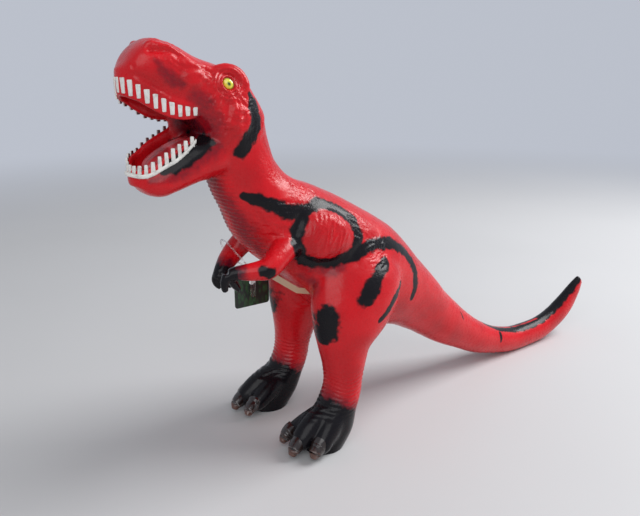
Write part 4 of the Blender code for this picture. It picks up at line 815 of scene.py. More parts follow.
def painted(points, rough):
    """Black paint, dark maroon that is part sprayed paint and part painted shade, and roughness of the skin, as
    the red, green and blue of an attribute.
    """
    shares = own_side(points)
    patchy = soft_noise(shares / 0.010, 501) * 0.6 + soft_noise(shares / 0.004, 502) * 0.4
    black = np.zeros(len(points))
    for lines, sideways in ((BLACK_MARKS, SIDEWAYS), (TAIL_MARKS, 1.0)):
        for line in lines:
            away = from_line(shares, line, sideways) + (patchy - 0.5) * 0.9
            black = np.maximum(black, 1.0 - smooth_step(0.45, 1.45, away))
    # Dark maroon: sprayed paint from some marks, the fingers and the feet, and painted shade from other marks and
    # the mouth
    spray_and_shade = np.zeros(len(points))
    for line in SPRAY_AND_SHADE_MARKS:
        away = from_line(shares, line) + (patchy - 0.5) * 0.8
        spray_and_shade = np.maximum(spray_and_shade, 0.65 * (1.0 - smooth_step(0.2, 1.3, away)))
    for side, fingers in ((LEFT, LEFT_FINGERS), (RIGHT, RIGHT_FINGERS)):
        here = points[:, 1] * side > 0.0
        for finger in fingers:
            line = [(x, y, z, radius * 2.0) for x, y, z, radius in finger]
            away = from_line(shares, line) + (patchy - 0.5) * 0.5
            black = np.maximum(black, here * (1.0 - smooth_step(0.75, 1.15, away)))
            spray_and_shade = np.maximum(spray_and_shade, here * (1.0 - smooth_step(1.2, 1.9, away)))
    rear = smooth_step(-0.250, -0.175, shares[:, 0])
    limit = SHIN_PAINT[0] + (SHIN_PAINT[1] - SHIN_PAINT[0]) * rear
    foot = (shares[:, 0] < -0.12) & (shares[:, 1] > 0.02)
    above = shares[:, 2] - limit + (patchy - 0.5) * 0.012
    black = np.maximum(black, foot * (1.0 - smooth_step(-0.012, 0.008, above)))
    spray_and_shade = np.maximum(spray_and_shade, foot * 0.9 * (1.0 - smooth_step(-0.006, 0.026, above)))
    # Painted shade darkens the inside of the mouth with the dark maroon
    mouth = np.linalg.norm((shares - np.array(MOUTH_HOLLOW[0])) / np.array(MOUTH_HOLLOW[1]), axis=1)
    spray_and_shade = np.maximum(spray_and_shade, 1.0 - smooth_step(0.55, 1.05, mouth))
    return np.stack((black, spray_and_shade, rough, np.ones(len(points))), axis=1)


def arm_share(points, side):
    """1 where a point belongs to the arm of a side."""
    path, fingers = (LEFT_ARM, LEFT_FINGERS) if side < 0.0 else (RIGHT_ARM, RIGHT_FINGERS)
    root = np.array((ARM_ROOT.x, ARM_ROOT.y * side, ARM_ROOT.z))
    heading = np.array((ARM_DIRECTION.x, ARM_DIRECTION.y * side, ARM_DIRECTION.z))
    shares = points * np.array((1.0, side, 1.0)) / LENGTH
    close = from_line(shares, [(x, y, z, radius * 1.25 + 0.001) for x, y, z, radius in path])
    for finger in fingers:
        close = np.minimum(close, from_line(shares, [(x, y, z, radius * 1.4) for x, y, z, radius in finger]))
    return ((points - root) @ heading > 0.0) & (close < 1.0)


def sheet_indices(centres):
    """Which sheet each face belongs to, as its place in the tuple of sheets."""
    x, y, z = centres.T
    index = np.zeros(len(centres), np.int32)
    index[patch_distance(centres / LENGTH) < 1.0] = SHEETS.index("belly_patch_vinyl")
    index[-0.6 * x + 0.8 * z > HEAD_PARTING] = SHEETS.index("head_vinyl")
    jaw = ((centres - np.array(JAW_ROOT)) @ np.array(JAW_DIRECTION) > 0.0) & (z < MOUTH_HEIGHT)
    index[jaw & (-0.6 * x + 0.8 * z > JAW_PARTING)] = SHEETS.index("jaw_vinyl")
    low = (z < KNEE_HEIGHT) & (x < LEG_REAR)
    index[low & (y < 0.0)] = SHEETS.index("left_leg_vinyl")
    index[low & (y > 0.0)] = SHEETS.index("right_leg_vinyl")
    index[x > TAIL_PARTING] = SHEETS.index("tail_vinyl")
    index[x > TIP_PARTING] = SHEETS.index("tail_tip_vinyl")
    index[arm_share(centres, LEFT)] = SHEETS.index("left_arm_vinyl")
    index[arm_share(centres, RIGHT)] = SHEETS.index("right_arm_vinyl")
    return index


def parted(item, material):
    """The sheet cut into its pieces, which keep the whole sheet's shading along their edges."""
    mesh = item.data
    mesh.attributes.new("whole_normal", "FLOAT_VECTOR", "POINT").data.foreach_set(
        "vector", numbers_of(mesh.vertex_normals, "vector").astype(np.float32).ravel())
    index = sheet_indices(numbers_of(mesh.polygons, "center"))
    for _ in SHEETS:
        mesh.materials.append(material)
    mesh.polygons.foreach_set("material_index", index)
    for other in bpy.context.scene.objects:
        other.select_set(other is item)
    bpy.context.view_layer.objects.active = item
    before = set(bpy.data.objects)
    bpy.ops.mesh.separate(type="MATERIAL")
    made = [item] + [other for other in bpy.data.objects if other not in before]
    sheets = {}
    for piece in made:
        centre = numbers_of(piece.data.polygons, "center")[:1]
        name = SHEETS[int(sheet_indices(centre)[0])]
        piece.name = name
        piece.data.name = name
        piece.data.materials.clear()
        piece.data.materials.append(material)
        piece.data.polygons.foreach_set("material_index", np.zeros(len(piece.data.polygons), np.int32))
        piece.data.shade_smooth()
        attribute = piece.data.attributes["whole_normal"]
        normals = numbers_of(attribute.data, "vector")
        piece.data.normals_split_custom_set_from_vertices(normals.tolist())
        piece.data.attributes.remove(piece.data.attributes["whole_normal"])
        sheets[name] = piece
    missing = set(SHEETS) - set(sheets)
    if missing:
        raise RuntimeError(f"the skin has no {sorted(missing)}")
    return sheets


def bend_sheets(sheets):
    """Each sheet moves with its body, and those that cross a joint bend there."""
    for name in ("torso_vinyl", "belly_patch_vinyl", "left_leg_vinyl", "right_leg_vinyl"):
        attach(sheets[name], "body")
    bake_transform(sheets["head_vinyl"], "body", "head", start=HEAD_START, end=HEAD_END)
    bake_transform(sheets["jaw_vinyl"], "head", "jaw", start=JAW_ROOT, end=JAW_ROOT + JAW_DIRECTION * JAW_BEND)
    for side, name in ((LEFT, "left_arm"), (RIGHT, "right_arm")):
        root = Vector((ARM_ROOT.x, ARM_ROOT.y * side, ARM_ROOT.z))
        heading = Vector((ARM_DIRECTION.x, ARM_DIRECTION.y * side, ARM_DIRECTION.z))
        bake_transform(sheets[name + "_vinyl"], "body", name + "_body", start=root, end=root + heading * ARM_BEND)
    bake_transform(sheets["tail_vinyl"], "body", "tail", start=(TAIL_BEND[0], 0.0, 0.05),
             end=(TAIL_BEND[1], 0.0, 0.05))
    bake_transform(sheets["tail_tip_vinyl"], "tail", "tail_end", start=(TIP_BEND[0], 0.0, 0.01),
             end=(TIP_BEND[1], 0.0, 0.01))
    for name, node in zip(SHEETS, STOOD_FOR):
        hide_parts(node)


# Finishes

def new_finish(name, roughness=0.4, metallic=0.0):
    material = bpy.data.materials.new(name)
    material.use_nodes = True
    tree = material.node_tree
    shader = tree.nodes["Principled BSDF"]
    shader.inputs["Roughness"].default_value = roughness
    shader.inputs["Metallic"].default_value = metallic
    return material, tree, shader


def wired(tree, kind, inputs, **options):
    """A new shader node with its options set, and each input given a number or another node's output."""
    made = tree.nodes.new("ShaderNode" + kind)
    for name, value in options.items():
        setattr(made, name, value)
    for name, value in inputs.items():
        if isinstance(value, bpy.types.NodeSocket):
            tree.links.new(value, made.inputs[name])
        else:
            made.inputs[name].default_value = value
    return made


def places(tree):
    return wired(tree, "TexCoord", {}).outputs["Object"]


def stretched(tree, scale, turn=(0.0, 0.0, 0.0)):
    inputs = {"Vector": places(tree), "Scale": scale, "Rotation": turn}
    return wired(tree, "Mapping", inputs).outputs["Vector"]


def grain(tree, scale, detail=2.0, vector=None):
    vector = vector or places(tree)
    return wired(tree, "TexNoise", {"Vector": vector, "Scale": scale, "Detail": detail}).outputs["Fac"]


def cells(tree, scale, vector=None, feature="F1"):
    vector = vector or places(tree)
    return wired(tree, "TexVoronoi", {"Vector": vector, "Scale": scale}, feature=feature).outputs["Distance"]


def ranged(tree, value, low, high, first=0.0, last=1.0):
    """The value from low to high, smoothly turned into first to last."""
    inputs = {"Value": value, "From Min": low, "From Max": high, "To Min": first, "To Max": last}
    return wired(tree, "MapRange", inputs, interpolation_type="SMOOTHSTEP").outputs["Result"]


def worked(tree, operation, first, second):
    return wired(tree, "Math", {0: first, 1: second}, operation=operation).outputs["Value"]


def mixed(tree, share, first, second):
    """Two colours mixed by a share."""
    made = tree.nodes.new("ShaderNodeMix")
    made.data_type = "RGBA"
    for place, value in ((0, share), (6, first), (7, second)):
        if isinstance(value, bpy.types.NodeSocket):
            tree.links.new(value, made.inputs[place])
        elif place:
            made.inputs[place].default_value = (*value[:3], 1.0)
        else:
            made.inputs[place].default_value = value
    return made.outputs[2]


def bumped(tree, shader, height, strength, distance):
    bump = wired(tree, "Bump", {"Height": height, "Distance": distance, "Strength": strength})
    tree.links.new(bump.outputs["Normal"], shader.inputs["Normal"])
    return bump


def shaded(colour, factor):
    return tuple(min(channel * factor, 1.0) for channel in colour)


def vinyl_finish(settings):
    """Glossy red vinyl under sprayed black, maroon spray and painted shade, as the marks attribute places them.
    """
    material, tree, shader = new_finish("red_vinyl_skin")
    shader.inputs["Coat Weight"].default_value = 0.09
    shader.inputs["Coat Roughness"].default_value = 0.14
    marks = wired(tree, "Attribute", {}, attribute_name="marks").outputs["Color"]
    split = wired(tree, "SeparateColor", {"Color": marks})
    black, spray_and_shade, rough = split.outputs["Red"], split.outputs["Green"], split.outputs["Blue"]
    speck = grain(tree, 420.0, 4.0)
    cloud = grain(tree, 45.0, 2.0)
    red = mixed(tree, ranged(tree, cloud, 0.35, 0.70), settings.red, shaded(settings.red, 0.80))
    # Dark maroon over the red: sprayed paint in some places and painted shade in others
    spray_and_shade_share = worked(tree, "MULTIPLY", spray_and_shade, ranged(tree, speck, 0.25, 0.70, 0.70, 1.0))
    tone = mixed(tree, spray_and_shade_share, red, settings.spray_and_shade)
    loose = worked(tree, "MULTIPLY", worked(tree, "SUBTRACT", speck, 0.5), 0.55)
    cover = ranged(tree, worked(tree, "ADD", black, loose), 0.15, 0.80)
    colour = mixed(tree, cover, tone, settings.black)
    tree.links.new(colour, shader.inputs["Base Color"])
    tree.links.new(ranged(tree, cover, 0.0, 1.0, 0.28, 0.15), shader.inputs["Specular IOR Level"])
    dull = ranged(tree, speck, 0.3, 0.7, 0.24, 0.34)
    tree.links.new(worked(tree, "SUBTRACT", dull, worked(tree, "MULTIPLY", cover, 0.04)),
                   shader.inputs["Roughness"])
    pores = worked(tree, "ADD", grain(tree, 900.0, 3.0), worked(tree, "MULTIPLY", cells(tree, 520.0), 0.8))
    strength = ranged(tree, rough, 0.0, 1.0, 0.10, 0.75)
    bumped(tree, shader, pores, strength, 0.32 * MM)
    return material


class DINO_OT_skin(bpy.types.Operator):
    """Melt, sculpt, paint and part the red vinyl skin"""
    bl_idname = "dino.skin"
    bl_label = "Skin"

    def execute(self, context):
        settings = context.scene.dino_skin
        item = melted_lofts(settings.voxel)
        mesh = item.data
        edges = edges_of(mesh)
        points = relaxed(numbers_of(mesh.vertices, "co"), edges, 0.5, 5)
        put_points(mesh, points)
        normals = numbers_of(mesh.vertex_normals, "vector")
        points = filled_creases(points, edges, normals, crease_strength(own_side(points)), 70)
        points = relaxed(points, edges, 0.4, 2)
        put_points(mesh, points)
        normals = relaxed(numbers_of(mesh.vertex_normals, "vector"), edges, 0.5, 6)
        normals /= np.linalg.norm(normals, axis=1)[:, None]
        points, rough = sculpted(points, normals, settings.relief)
        put_points(mesh, points)
        marks = mesh.attributes.new("marks", "FLOAT_COLOR", "POINT")
        marks.data.foreach_set("color", painted(points, rough).astype(np.float32).ravel())
        bend_sheets(parted(item, vinyl_finish(settings)))
        return {"FINISHED"}


# Teeth and tongue

def even_places(gum, count):
    """Middles of equal stretches along a gum on both sides, each with the outward way and the two heights."""
    line = np.array(gum_line(gum, 8))
    steps = np.linalg.norm(np.diff(line[:, :2], axis=0), axis=1)
    run = np.concatenate(([0.0], np.cumsum(steps)))
    pitch = run[-1] / (2 * count)
    found = []
    for number in range(2 * count):
        middle = (number + 0.5) * pitch
        x, y, root, tip = (np.interp(middle, run, line[:, column]) for column in range(4))
        ahead = [np.interp(middle + pitch / 4.0, run, line[:, column]) for column in (0, 1)]
        along = Vector((ahead[0] - x, ahead[1] - y, 0.0)).normalized()
        found.append((Vector((x, y, 0.0)) * LENGTH, along, root * LENGTH, tip * LENGTH))
    return found, pitch * LENGTH


def add_tooth(builder, place, along, root, tip, width, depth):
    """A blunt block that narrows to its tip, with rounded edges."""
    outward = -along.cross(AXIS_Z).normalized()
    cube = bmesh.ops.create_cube(builder, size=1.0)["verts"]
    tips = [vert for vert in cube if vert.co.z > 0.0]
    bmesh.ops.scale(builder, vec=(0.74, 0.66, 1.0), verts=tips)
    up = AXIS_Z * (tip - root)
    turn = Matrix((along * width, outward * depth, up)).transposed().to_4x4()
    turn.translation = Vector((place.x, place.y, (root + tip) / 2.0)) - outward * depth * 0.25
    bmesh.ops.transform(builder, matrix=turn, verts=cube)
    edges = list({edge for vert in cube for edge in vert.link_edges})
    made = bmesh.ops.bevel(builder, geom=edges, offset=width * 0.16, segments=3, profile=0.5, affect="EDGES",
                           material=-1, clamp_overlap=True)["verts"]
    outer = builder.verts.layers.float["outer"]
    for vert in made:
        vert[outer] = (vert.co - turn.translation).dot(outward) / depth


def tooth_row(name, gum, settings, buried, band=0.0):
    """One jaw's teeth. A band joins their roots where its height isn't 0."""
    builder = bmesh.new()
    outer = builder.verts.layers.float.new("outer")
    found, pitch = even_places(gum, settings.count)
    for number, (place, along, root, tip) in enumerate(found):
        wave = math.sin(number * 2.4)
        sign = math.copysign(1.0, tip - root)
        width = pitch * settings.width * (1.0 + 0.08 * wave)
        uneven_tip = tip + sign * 0.25 * MM * math.sin(number * 4.1)
        add_tooth(builder, place, along, root - sign * buried, uneven_tip, width, settings.depth)
    if band:
        frames = gum_frames(gum, 0.0022, 0.004, 0.0, 0.0)
        squeezed = []
        for (centre, across, _), line in zip(frames, gum_line(gum)):
            middle = Vector((centre.x, centre.y, line[2] * LENGTH + band / 2.0))
            squeezed.append((middle - across.normalized() * 1.4 * MM, across, AXIS_Z * band / 2.0))
        for vert in add_loft(builder, squeezed, 16, 3.0):
            vert[outer] = 0.3
    bmesh.ops.recalc_face_normals(builder, faces=builder.faces)
    item = new_object(builder, name)
    item.data.shade_smooth()
    return item


def tooth_finish(settings):
    material, tree, shader = new_finish("painted_tooth_white", 0.30)
    shader.inputs["Coat Weight"].default_value = 0.25
    stain = ranged(tree, grain(tree, 350.0, 3.0), 0.45, 0.75)
    painted_white = mixed(tree, stain, settings.white, shaded(settings.white, 0.72))
    outer = wired(tree, "Attribute", {}, attribute_name="outer").outputs["Fac"]
    # Unpainted backs of the teeth, darkened to maroon below the red vinyl as painted shade from inside the mouth
    colour = mixed(tree, ranged(tree, outer, -0.30, -0.12), (0.10, 0.006, 0.010), painted_white)
    tree.links.new(colour, shader.inputs["Base Color"])
    bumped(tree, shader, grain(tree, 1200.0, 2.0), 0.25, 0.1 * MM)
    return material


def tongue_shape():
    """A flat tongue that swells in the middle and has a groove along it."""
    builder = bmesh.new()
    centre = Vector((-0.430, 0.0, 0.456)) * LENGTH
    tilt = math.radians(24.0)
    along = Vector((math.cos(tilt), 0.0, math.sin(tilt)))
    up = Vector((-math.sin(tilt), 0.0, math.cos(tilt)))
    frames = []
    for step in range(25):
        turn = math.pi * (0.02 + 0.96 * step / 24)
        swell = math.sin(turn) ** 0.6
        middle = centre - along * math.cos(turn) * 0.040 * LENGTH + up * 0.002 * LENGTH * math.sin(turn)
        frames.append((middle, AXIS_Y * 0.021 * LENGTH * swell, up * 0.0125 * LENGTH * swell))
    verts = add_loft(builder, frames, 40, 2.4)
    for vert in verts:
        rise = (vert.co - centre).dot(up)
        if rise > 0.0:
            vert.co -= up * 1.3 * MM * math.exp(-(vert.co.y / (1.6 * MM)) ** 2)
        ripple = math.sin(vert.co.x / (1.7 * MM)) * math.sin(vert.co.y / (1.9 * MM) + 0.8)
        vert.co += up * 0.12 * MM * ripple
    bmesh.ops.recalc_face_normals(builder, faces=builder.faces)
    item = new_object(builder, "tongue")
    item.data.shade_smooth()
    return item


def tongue_finish(settings):
    material, tree, shader = new_finish("wet_pink_tongue", 0.30)
    shader.inputs["Coat Weight"].default_value = 0.35
    cloud = ranged(tree, grain(tree, 160.0, 3.0), 0.35, 0.70)
    colour = mixed(tree, cloud, settings.tongue, shaded(settings.tongue, 0.55))
    tree.links.new(colour, shader.inputs["Base Color"])
    bumped(tree, shader, cells(tree, 900.0), 0.5, 0.2 * MM)
    return material


class DINO_OT_mouth(bpy.types.Operator):
    """Set the teeth along both gums and lay the tongue between them"""
    bl_idname = "dino.mouth"
    bl_label = "Mouth"

    def execute(self, context):
        settings = context.scene.dino_mouth
        white = tooth_finish(settings)
        upper = tooth_row("upper_teeth", UPPER_GUM, settings, 0.6 * MM)
        lower = tooth_row("lower_teeth", LOWER_GUM, settings, 0.2 * MM, band=2.4 * MM)
        for row, body in ((upper, "head"), (lower, "jaw")):
            row.data.materials.append(white)
            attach(row, body)
        tongue = tongue_shape()
        tongue.data.materials.append(tongue_finish(settings))
        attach(tongue, "jaw")
        return {"FINISHED"}


# Eyes

def eye_place(side):
    """The middle of an eye's hollow on the head and the way out of it."""
    points = numbers_of(bpy.data.objects["head_vinyl"].data.vertices, "co")
    target = np.array((EYE[0], EYE[1] * side, EYE[2])) * LENGTH
    nearest = points[np.argmin(np.linalg.norm(points - target, axis=1))]
    return Vector(nearest), Vector((EYE_DIRECTION[0], EYE_DIRECTION[1] * side, EYE_DIRECTION[2])).normalized()


def eye_shape(side, radius, name):
    """A low dome, with its distance from the middle and from the pupil kept for the paint."""
    place, outward = eye_place(side)
    across = outward.cross(AXIS_Z).normalized()
    up = across.cross(outward).normalized()
    builder = bmesh.new()
    far = builder.verts.layers.float.new("from_middle")
    pupil = builder.verts.layers.float.new("from_pupil")
    ball = bmesh.ops.create_uvsphere(builder, u_segments=64, v_segments=40, radius=1.0)["verts"]
    for vert in ball:
        vert[far] = math.hypot(vert.co.x, vert.co.y) if vert.co.z > 0.0 else 1.0
        vert[pupil] = math.hypot(vert.co.x + 0.10, vert.co.y - 0.12)
    forward = across * -side
    long = forward * math.cos(EYE_SLANT) + up * math.sin(EYE_SLANT)
    short = up * math.cos(EYE_SLANT) - forward * math.sin(EYE_SLANT)
    axes = (long * radius * 1.05, short * radius * 0.86, outward * radius * 0.62)
    turn = Matrix(axes).transposed().to_4x4()
    turn.translation = place - outward * 0.35 * MM
    bmesh.ops.transform(builder, matrix=turn, verts=ball)
    bmesh.ops.recalc_face_normals(builder, faces=builder.faces)
    item = new_object(builder, name)
    item.data.shade_smooth()
    return item


def eye_finish(settings):
    material, tree, shader = new_finish("painted_eye", 0.12)
    shader.inputs["Coat Weight"].default_value = 0.6
    shader.inputs["Coat Roughness"].default_value = 0.05
    middle = wired(tree, "Attribute", {}, attribute_name="from_middle").outputs["Fac"]
    pupil = wired(tree, "Attribute", {}, attribute_name="from_pupil").outputs["Fac"]
    ring = ranged(tree, middle, 0.66, 0.86)
    iris = mixed(tree, ring, settings.yellow, (0.30, 0.27, 0.03))
    iris = mixed(tree, ranged(tree, grain(tree, 1400.0, 3.0), 0.45, 0.7, 0.0, 0.25), iris, (0.50, 0.42, 0.03))
    iris = mixed(tree, ranged(tree, pupil, 0.22, 0.50, 0.7, 0.0), iris, (0.20, 0.28, 0.02))
    rim = mixed(tree, ranged(tree, middle, 0.90, 0.97), iris, (0.020, 0.006, 0.006))
    colour = mixed(tree, ranged(tree, pupil, 0.12, 0.30, 1.0, 0.0), rim, (0.020, 0.040, 0.008))
    tree.links.new(colour, shader.inputs["Base Color"])
    return material


class DINO_OT_eyes(bpy.types.Operator):
    """Set a painted eye into each hollow of the head"""
    bl_idname = "dino.eyes"
    bl_label = "Eyes"

    def execute(self, context):
        settings = context.scene.dino_eyes
        material = eye_finish(settings)
        for side, name in ((LEFT, "left_eye"), (RIGHT, "right_eye")):
            eye = eye_shape(side, settings.radius, name)
            eye.data.materials.append(material)
            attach(eye, "head")
        return {"FINISHED"}


# Claws

def claw_finish(settings):
    material, tree, shader = new_finish("dark_claw", 0.26)
    shader.inputs["Coat Weight"].default_value = 0.35
    tip = wired(tree, "Attribute", {}, attribute_name="along_claw").outputs["Fac"]
    pale = worked(tree, "ADD", tip, worked(tree, "MULTIPLY", grain(tree, 500.0, 3.0), 0.5))
    colour = mixed(tree, ranged(tree, pale, 0.75, 1.30), settings.horn, (0.12, 0.048, 0.032))
    tree.links.new(colour, shader.inputs["Base Color"])
    bumped(tree, shader, grain(tree, 700.0, 4.0, stretched(tree, (1.0, 1.0, 0.3))), 0.35, 0.2 * MM)
    return material


class DINO_OT_claws(bpy.types.Operator):
    """Put a blunt claw on each toe"""
    bl_idname = "dino.claws"
    bl_label = "Claws"

    def execute(self, context):
        builder = bmesh.new()
        share = builder.verts.layers.float.new("along_claw")
        for side in SIDES:
            shift = RIGHT_FOOT_SHIFT if side > 0.0 else 0.0
            for claw in CLAWS:
                verts = add_loft(builder, limb_frames(claw, side, shift, 6), 24, 2.2)
                root, tip = (Vector((place[0] + shift, side * place[1], place[2])) * LENGTH
                             for place in (claw[0], claw[-1]))
                along = tip - root
                for vert in verts:
                    vert[share] = (vert.co - root).dot(along) / along.length_squared
                    vert.co.z = max(vert.co.z, 0.0)
        bmesh.ops.recalc_face_normals(builder, faces=builder.faces)
        item = new_object(builder, "foot_claws")
        item.data.shade_smooth()
        item.data.materials.append(claw_finish(context.scene.dino_claws))
        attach(item, "body")
        return {"FINISHED"}


# Filling

def cotton_finish():
    material, tree, shader = new_finish("white_filling", 0.95)
    shader.inputs["Sheen Weight"].default_value = 0.5
    cloud = ranged(tree, grain(tree, 120.0, 5.0), 0.3, 0.7)
    colour = mixed(tree, cloud, (0.84, 0.84, 0.81), (0.66, 0.65, 0.61))
    tree.links.new(colour, shader.inputs["Base Color"])
    bumped(tree, shader, grain(tree, 600.0, 6.0, stretched(tree, (1.0, 0.3, 1.0))), 0.8, 0.8 * MM)
    return material


def under_skin(points, trees):
    """Points that come too near the skin are drawn in under it."""
    for index, point in enumerate(points):
        place, normal, _, _ = min((tree.find_nearest(point) for tree in trees), key=lambda found: found[3])
        if (Vector(point) - place).dot(normal) > -SKIN_DEPTH:
            points[index] = place - normal * SKIN_DEPTH
    return points


def filling_shape(name, trees):
    """The space that a filling takes, with the lumps and tufts of loose cotton drawn inwards."""
    source = frame["nodes"][name].data.copy()
    builder = bmesh.new()
    builder.from_mesh(source)
    bpy.data.meshes.remove(source)
    bmesh.ops.remove_doubles(builder, verts=builder.verts, dist=0.01 * MM)
    item = remeshed(new_object(builder, name.replace("stuffing", "filling")), 2.5 * MM)
    mesh = item.data
    mesh.materials.clear()
    edges = edges_of(mesh)
    points = relaxed(numbers_of(mesh.vertices, "co"), edges, 0.5, 2)
    put_points(mesh, points)
    normals = numbers_of(mesh.vertex_normals, "vector")
    sunk = 0.5 + 1.1 * soft_noise(points / 0.011, 601) + 0.6 * soft_noise(points / 0.005, 602)
    put_points(mesh, under_skin(points - normals * (sunk * MM)[:, None], trees))
    mesh.shade_smooth()
    return item


class DINO_OT_filling(bpy.types.Operator):
    """Fill the skin with loose cotton"""
    bl_idname = "dino.filling"
    bl_label = "Filling"

    def execute(self, context):
        material = cotton_finish()
        bodies = {"head_stuffing": "head", "tail_stuffing": "tail"}
        depsgraph = context.evaluated_depsgraph_get()
        trees = [BVHTree.FromObject(bpy.data.objects[sheet], depsgraph) for sheet in SHEETS]
        for name in ("torso_stuffing", "head_stuffing", "left_leg_stuffing", "right_leg_stuffing",
                     "tail_stuffing"):
            item = filling_shape(name, trees)
            item.data.materials.append(material)
            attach(item, bodies.get(name, "body"))
            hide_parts(name)
        return {"FINISHED"}


# Sound unit

def plain_finish(name, colour, dark, roughness, scale, metallic=0.0, stretch=(1.0, 1.0, 1.0), coat=0.0):
    """A finish with mottled colour, uneven gloss and a fine grain."""
    material, tree, shader = new_finish(name, roughness, metallic)
    shader.inputs["Coat Weight"].default_value = coat
    vector = stretched(tree, stretch)
    tone = ranged(tree, grain(tree, scale, 4.0, vector), 0.30, 0.70)
    tree.links.new(mixed(tree, tone, colour, dark), shader.inputs["Base Color"])
    gloss = ranged(tree, grain(tree, scale * 2.3, 3.0, vector), 0.3, 0.7, roughness * 0.85, roughness * 1.2)
    tree.links.new(gloss, shader.inputs["Roughness"])
    bumped(tree, shader, grain(tree, scale * 4.0, 3.0, vector), 0.3, 0.08 * MM)
    return material


def board_finish():
    """Green lacquer with tinned tracks under it."""
    material, tree, shader = new_finish("green_board", 0.35)
    tracks = wired(tree, "TexBrick", {"Vector": stretched(tree, (1.0, 1.0, 1.0)), "Scale": 260.0,
                                      "Mortar Size": 0.05}).outputs["Fac"]
    mottled = mixed(tree, grain(tree, 200.0, 3.0), (0.012, 0.16, 0.045), (0.010, 0.12, 0.035))
    tree.links.new(mixed(tree, tracks, mottled, (0.05, 0.30, 0.10)), shader.inputs["Base Color"])
    bumped(tree, shader, tracks, 0.4, 0.1 * MM)
    return material


class DINO_OT_sound_unit(bpy.types.Operator):
    """Finish the sound unit's case, cells, board, speaker and leads"""
    bl_idname = "dino.sound_unit"
    bl_label = "Sound Unit"

    def execute(self, context):
        finishes = {
            "case_plastic": plain_finish("moulded_case", (0.72, 0.72, 0.69), (0.66, 0.66, 0.62), 0.45, 180.0),
            "black_plastic": plain_finish("resin_blob", (0.012, 0.012, 0.013), (0.02, 0.02, 0.02), 0.20,
                                          240.0, coat=0.4),
            "circuit_green": board_finish(),
            "steel": plain_finish("plated_steel", (0.62, 0.62, 0.61), (0.50, 0.50, 0.50), 0.28, 300.0, 1.0,
                                  (1.0, 0.15, 1.0)),
            "magnet": plain_finish("dark_ferrite", (0.09, 0.09, 0.095), (0.05, 0.05, 0.055), 0.6, 260.0),
            "paper_cone": plain_finish("black_paper", (0.035, 0.033, 0.030), (0.02, 0.019, 0.018), 0.85,
                                       420.0),
            "red_wire": plain_finish("red_insulation", (0.45, 0.012, 0.010), (0.36, 0.010, 0.008), 0.4,
                                     300.0),
            "black_wire": plain_finish("black_insulation", (0.012, 0.012, 0.012), (0.02, 0.02, 0.02), 0.4,
                                       300.0),
            "white_plastic": plain_finish("white_nylon", (0.78, 0.78, 0.76), (0.70, 0.70, 0.68), 0.32, 240.0,
                                          coat=0.2),
        }
        for row in frame["record"]["subparts"]:
            if row["material_slot"] in finishes:
                mesh = frame["nodes"][row["node"]].data
                mesh.materials.clear()
                mesh.materials.append(finishes[row["material_slot"]])
        return {"FINISHED"}


# Hang tag and pull tab

def card_finish(settings):
    """Green leaf shapes over a dark ground."""
    material, tree, shader = new_finish("printed_card", 0.38)
    shader.inputs["Coat Weight"].default_value = 0.25
    wavy = stretched(tree, (1.0, 1.0, 0.45), (0.0, math.radians(35.0), 0.0))
    leaves = ranged(tree, cells(tree, 380.0, wavy), 0.30, 0.60, 1.0, 0.0)
    veins = ranged(tree, cells(tree, 900.0, wavy), 0.10, 0.40, 0.3, 1.0)
    leaf = mixed(tree, veins, settings.leaf, shaded(settings.leaf, 0.35))
    colour = mixed(tree, leaves, settings.ground, leaf)
    tree.links.new(colour, shader.inputs["Base Color"])
    bumped(tree, shader, grain(tree, 500.0, 3.0), 0.2, 0.05 * MM)
    return material


def film_finish():
    """Cream film with fine lines drawn along it."""
    material, tree, shader = new_finish("cream_film", 0.35)
    lines = wired(tree, "TexWave", {"Vector": places(tree), "Scale": 420.0, "Distortion": 1.0},
                  bands_direction="Z").outputs["Fac"]
    colour = mixed(tree, ranged(tree, lines, 0.2, 0.8), (0.66, 0.52, 0.36), (0.54, 0.40, 0.26))
    tree.links.new(colour, shader.inputs["Base Color"])
    bumped(tree, shader, lines, 0.25, 0.05 * MM)
    return material


def loop_finish():
    """Clear nylon thread that ends in a white ribbed tongue above the card."""
    material, tree, shader = new_finish("nylon_loop", 0.25)
    ends = {0: places(tree), 1: TONGUE_PLACE}
    from_tongue = wired(tree, "VectorMath", ends, operation="DISTANCE").outputs["Value"]
    thread = ranged(tree, from_tongue, *TONGUE_REACH)
    tree.links.new(thread, shader.inputs["Transmission Weight"])
    inputs = {"Vector": places(tree), "Scale": 520.0}
    rows = wired(tree, "TexWave", inputs, bands_direction="Z").outputs["Fac"]
    white = mixed(tree, ranged(tree, rows, 0.2, 0.8), (0.84, 0.84, 0.82), (0.60, 0.60, 0.60))
    tree.links.new(mixed(tree, thread, white, (0.97, 0.93, 0.93)), shader.inputs["Base Color"])
    bumped(tree, shader, rows, 0.3, 0.08 * MM)
    return material


class DINO_OT_tag(bpy.types.Operator):
    """Print the hang tag and finish the pull tab"""
    bl_idname = "dino.tag"
    bl_label = "Tag and Tab"

    def execute(self, context):
        for name, material in (("hang_tag", card_finish(context.scene.dino_tag)),
                               ("battery_pull_tab", film_finish()), ("tag_loop", loop_finish())):
            mesh = frame["nodes"][name].data
            mesh.materials.clear()
            mesh.materials.append(material)
        return {"FINISHED"}


# Stage

def seen_share(tree):
    """1 for what the camera sees, straight, mirrored or through clear plastic."""
    path = wired(tree, "LightPath", {})
    bent = worked(tree, "MAXIMUM", path.outputs["Is Glossy Ray"], path.outputs["Is Transmission Ray"])
    return worked(tree, "MAXIMUM", path.outputs["Is Camera Ray"], bent)


